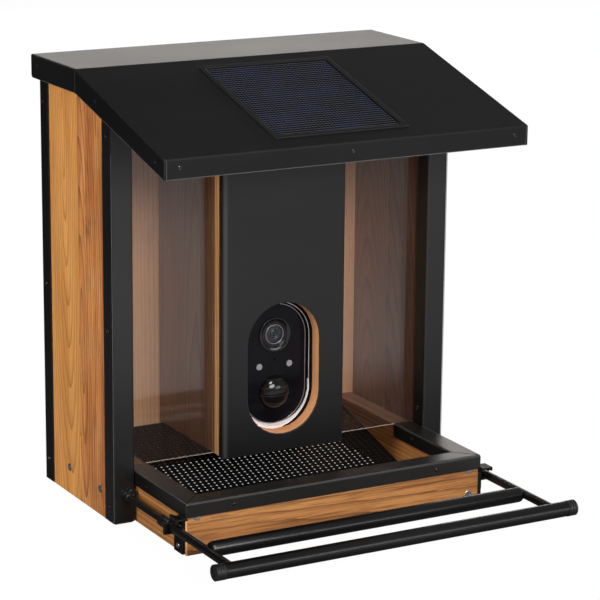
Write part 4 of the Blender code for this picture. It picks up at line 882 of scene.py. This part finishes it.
def add_light(name, place, target, size, power, colour=(1, 1, 1), mirrored_in_gloss=True):
    """A soft lamp that faces its target. Its power is in watts."""
    data = bpy.data.lights.new(name, "AREA")
    data.shape = "ELLIPSE"
    data.size, data.size_y = size
    data.energy = power
    data.color = colour
    light = bpy.data.objects.new(name, data)
    bpy.context.scene.collection.objects.link(light)
    light.location = place
    light.rotation_euler = (Vector(target) - Vector(place)).to_track_quat("-Z", "Y").to_euler()
    light.visible_glossy = mirrored_in_gloss
    return light


def make_floor():
    """White floor that runs far past the picture, just below the feeder."""
    mesh = bpy.data.meshes.new("studio_floor")
    reach = 14.0
    corners = [(x * reach, y * reach, 0) for x, y in ((-1, -1), (1, -1), (1, 1), (-1, 1))]
    mesh.from_pydata(corners, [], [(0, 1, 2, 3)])
    floor = bpy.data.objects.new("studio_floor", mesh)
    floor.location.z = -0.0002
    mesh.materials.append(studio_floor())
    bpy.context.scene.collection.objects.link(floor)


def make_world():
    """White where the camera sees it. The light from it comes mostly from the front and is a
    little dimmer higher up."""
    world = bpy.data.worlds.new("studio")
    bpy.context.scene.world = world
    world.use_nodes = True
    sky = Nodes(world.node_tree)
    direction = sky.add("TexCoord").outputs["Generated"]
    height = sky.between(sky.split(direction)[2], 0.30, 0.62, 0.42, 0.36)
    ahead = sky.add("VectorMath", {0: direction, 1: (0.6, -0.8, 0.0)}, operation="DOT_PRODUCT")
    around = sky.sums("MULTIPLY", height, sky.between(ahead.outputs["Value"], -0.5, 0.1, 0.12, 1.0))
    seen = sky.add("LightPath").outputs["Is Camera Ray"]
    background = sky.tree.nodes["Background"].inputs
    background["Color"].default_value = (1, 1, 1, 1)
    sky.feed(background["Strength"], sky.add("Mix", {0: seen, 2: around, 3: 1.0}).outputs[0])


def make_studio():
    """White floor and surroundings, with soft lamps mainly from the left and the front."""
    make_floor()
    make_world()
    bpy.context.scene.view_settings.view_transform = "Standard"
    middle = (0, 0, 0.16)
    add_light("key", (-2.5, -0.15, 1.05), middle, (1.5, 1.4), 49, mirrored_in_gloss=False)
    add_light("front_fill", (-0.15, -2.5, 1.15), middle, (1.4, 0.9), 58)
    only_in_gloss = [
        add_light("high_spot", (-0.34, -1.33, 1.64), (0, FRONT, 0.085), (0.70, 0.70), 30),
        add_light("right_gloss", (1.2, -2.4, 0.55), (0, FRONT - 0.15, 0.05), (1.2, 0.6), 9)]
    for light in only_in_gloss:
        light.visible_diffuse = False
    add_light("right_fill", (2.2, -0.8, 0.9), middle, (1.2, 1.0), 12, mirrored_in_gloss=False)
    add_light("back_wash", (0.9, 2.6, 0.80), (0, 0, 0.3), (2.6, 0.7), 17, (1.0, 0.955, 0.90))


# Assembly

def paint(material, *names):
    """Gives pieces of the part a finish."""
    for name in names:
        mesh = nodes[name].data
        mesh.materials.clear()
        mesh.materials.append(material)


def both(name):
    """A piece's two names, left and right."""
    return [f"{name}_{side}" for side, sign in SIDES]


def paint_wood():
    """Each board has its own cut through the grain: where its pith lies, and how it leans."""
    y = FRONT
    for side, sign in SIDES:
        paint(wood(f"wood_rear_{side}", "Z", HONEY, (sign * 0.127, y + 0.082), spacing=0.0031,
                   lean=0.095, figure=0.10, streaks=0.35, seed=0.13 * sign, flecks=0.2,
                   shaded_facing=-sign), f"side_panel_rear_{side}")
        paint(wood(f"wood_front_{side}", "Z", RUSSET, (sign * 0.120, y + 0.048), spacing=0.0036,
                   lean=0.09, figure=0.55, streaks=0.75, seed=0.31 + 0.2 * sign, flecks=0.4,
                   shaded_facing=-sign), f"side_panel_front_{side}")
        paint(wood(f"wood_column_{side}", "Z", PLANED, (sign * 0.095, y + 0.05), spacing=0.0030,
                   lean=0.03, figure=0.12, streaks=0.4, seed=0.4 * sign, flecks=0.2,
                   shaded_facing=sign), f"column_wall_{side}")
        paint(wood(f"wood_tray_side_{side}", "Y", AMBER, (sign * 0.105, 0.060), spacing=0.0034,
                   lean=0.008, figure=0.12, streaks=0.5, seed=0.9 * sign),
              f"tray_side_board_{side}")
    paint(wood("wood_tray_front", "X", AMBER, (y - 0.16, 0.0), spacing=0.0017, lean=0.010,
               figure=0.12, streaks=0.8, seed=0.45, flecks=0.55, thin=2.4), "tray_front_board")
    paint(wood("wood_back", "Z", INSIDE, (0.02, y + 0.19), spacing=0.0021, lean=0.010,
               figure=0.12, streaks=0.5, seed=1.7), "back_panel")
    paint(wood("wood_lining", "Z", CUT_EDGE, (0.0, y - 0.06), spacing=0.0022, lean=0.02,
               figure=0.10, streaks=0.30, seed=2.2), "column_front_board")
    paint(wood("wood_plain", "X", HONEY, (y, 0.40), spacing=0.0035, lean=0.03, figure=0.1,
               streaks=0.3, seed=0.8), "column_floor_board", "lid_board_rear", "lid_board_front")


def paint_sheets():
    """Coated steel, each sheet with its own depth of black and its own shine."""
    paint(coated("powder_black", (0.0032, 0.0031, 0.0032), 0.40, level=0.10, edge=0.0012),
          *both("rear_corner_trim"), *both("perch_bracket"))
    paint(coated("roof_black", (0.0036, 0.0036, 0.0038), 0.42, level=0.14, edge=0.0014),
          "roof_sheet", "solar_frame")
    paint(coated("rim_black", (0.0052, 0.0046, 0.0042), 0.35, dust=0.4, level=0.50, edge=0.0012),
          "tray_rim")
    # The column cover carries a painted highlight band beside its left fold.
    paint(coated("cover_black", (0.0042, 0.0040, 0.0041), 0.34, dust=0.35, level=0.31,
                 edge=0.0014, fold_highlight=(-0.0521, -0.0500, -0.0470)), "column_cover")
    paint(coated("post_black", (0.0024, 0.0023, 0.0024), 0.37, dust=0.25, level=0.42,
                 edge=0.0014), *both("front_post_channel"))


def dress_camera(moulded, gap_shade):
    """Finishes and fine parts of the camera: lens, rims, the bezel's painted reflection, the painted
    gap shadow, dome and lamps.
    """
    piano = gloss("piano_black", (0.0040, 0.0036, 0.0050), 0.06, level=0.055)
    bevel = gloss("bevel_black", (0.0030, 0.0028, 0.0034), 0.05, level=0.35)
    bright = metal("bright_chrome", (0.80, 0.77, 0.80), 0.16, pure=0.45)
    paint(piano, "camera_face")
    paint(bevel, "camera_bevel")
    paint(moulded, "lens_barrel", "camera_shell", "power_button")
    paint(frosted("lamp_frost", (0.30, 0.29, 0.31)), *both("lamp_window"))
    paint(frosted("circuit_green", (0.02, 0.14, 0.06)), "circuit_board")
    paint(frosted("battery_wrap", (0.05, 0.18, 0.42)), "battery_pack")
    glint = gloss("coated_glass", (0.012, 0.010, 0.018), 0.02, alpha=0.16)
    # The teal finish is a painted reflection on the lens's inner rings and a painted glint bead.
    make_lens(bevel, metal("violet_grey_metal", (0.34, 0.31, 0.37), 0.22, pure=0.6),
              gloss("iris_violet", (0.022, 0.015, 0.020), 0.25),
              gloss("pupil_black", (0.006, 0.010, 0.011), 0.05), glint,
              gloss("painted_teal_reflection", (0.06, 0.16, 0.13), 0.06))
    make_rims(bevel, bright, metal("grey_rim", (0.36, 0.34, 0.38), 0.2, pure=0.6))
    # White crescent of painted reflection on the bezel's lower lip.
    make_bezel_reflection(gloss("painted_reflection_white", (0.70, 0.655, 0.645), 0.30))
    # Painted shadow in the gap beside the camera.
    make_gap_shadow(gap_shade)
    make_dome(faceted_dome(), piano)


def dress():
    """All finishes and fine parts."""
    moulded = coated("moulded_black", (0.0048, 0.0048, 0.0048), 0.30, grain=900, dust=0.2,
                     level=0.30)
    zinc = metal("zinc_steel", (0.62, 0.62, 0.63), 0.26)
    # Near-black for the dark joints of seams and mitres, and for the painted shadow in the camera's
    # gap.
    joint_and_gap_shade = coated("joint_and_gap_shade_black", (0.0015, 0.0015, 0.0015), 0.7, level=0.05, dust=0.0)
    # Pale strips of painted highlight along fold edges and beside the roof's slits, partly rubbed
    # wear.
    highlight_strip = coated("rubbed_and_highlit_edge", (0.040, 0.040, 0.042), 0.4, dust=0.0)
    paint_wood()
    paint_sheets()
    paint(tinted_pane(), *both("window"))
    paint(zinc, *both("hinge_leaf_fixed"), *both("hinge_leaf_lid"), *both("hinge_pin"))
    paint(solar_weave(), "solar_panel")
    make_screws(coated("screw_black", (0.0035, 0.0035, 0.0038), 0.16, grain=3000, dust=0.0,
                       level=0.50, edge=0.0003), zinc)
    make_mesh_floor(coated("mesh_black", (0.0030, 0.0028, 0.0028), 0.50, dust=0.5, level=0.12,
                           edge=0.0002))
    make_perch(coated("tube_black", (0.0022, 0.0021, 0.0021), 0.24, grain=2600, dust=0.25,
                      level=0.30), moulded)
    dress_camera(moulded, joint_and_gap_shade)
    # Pale strips of painted highlight on the windows' lower edges.
    make_pane_feet(coated("pane_edge_highlight", (0.20, 0.165, 0.145), 0.25, dust=0.0, level=0.5))
    make_seams(joint_and_gap_shade, highlight_strip)
    make_edge_highlights(highlight_strip)
    make_board_arris(wood("wood_arris", "Z", PLANED, (0.3, 0.2), spacing=0.003, lean=0.02,
                          figure=0.1, streaks=0.3, seed=0.6))


make_camera()
make_studio()
dress()
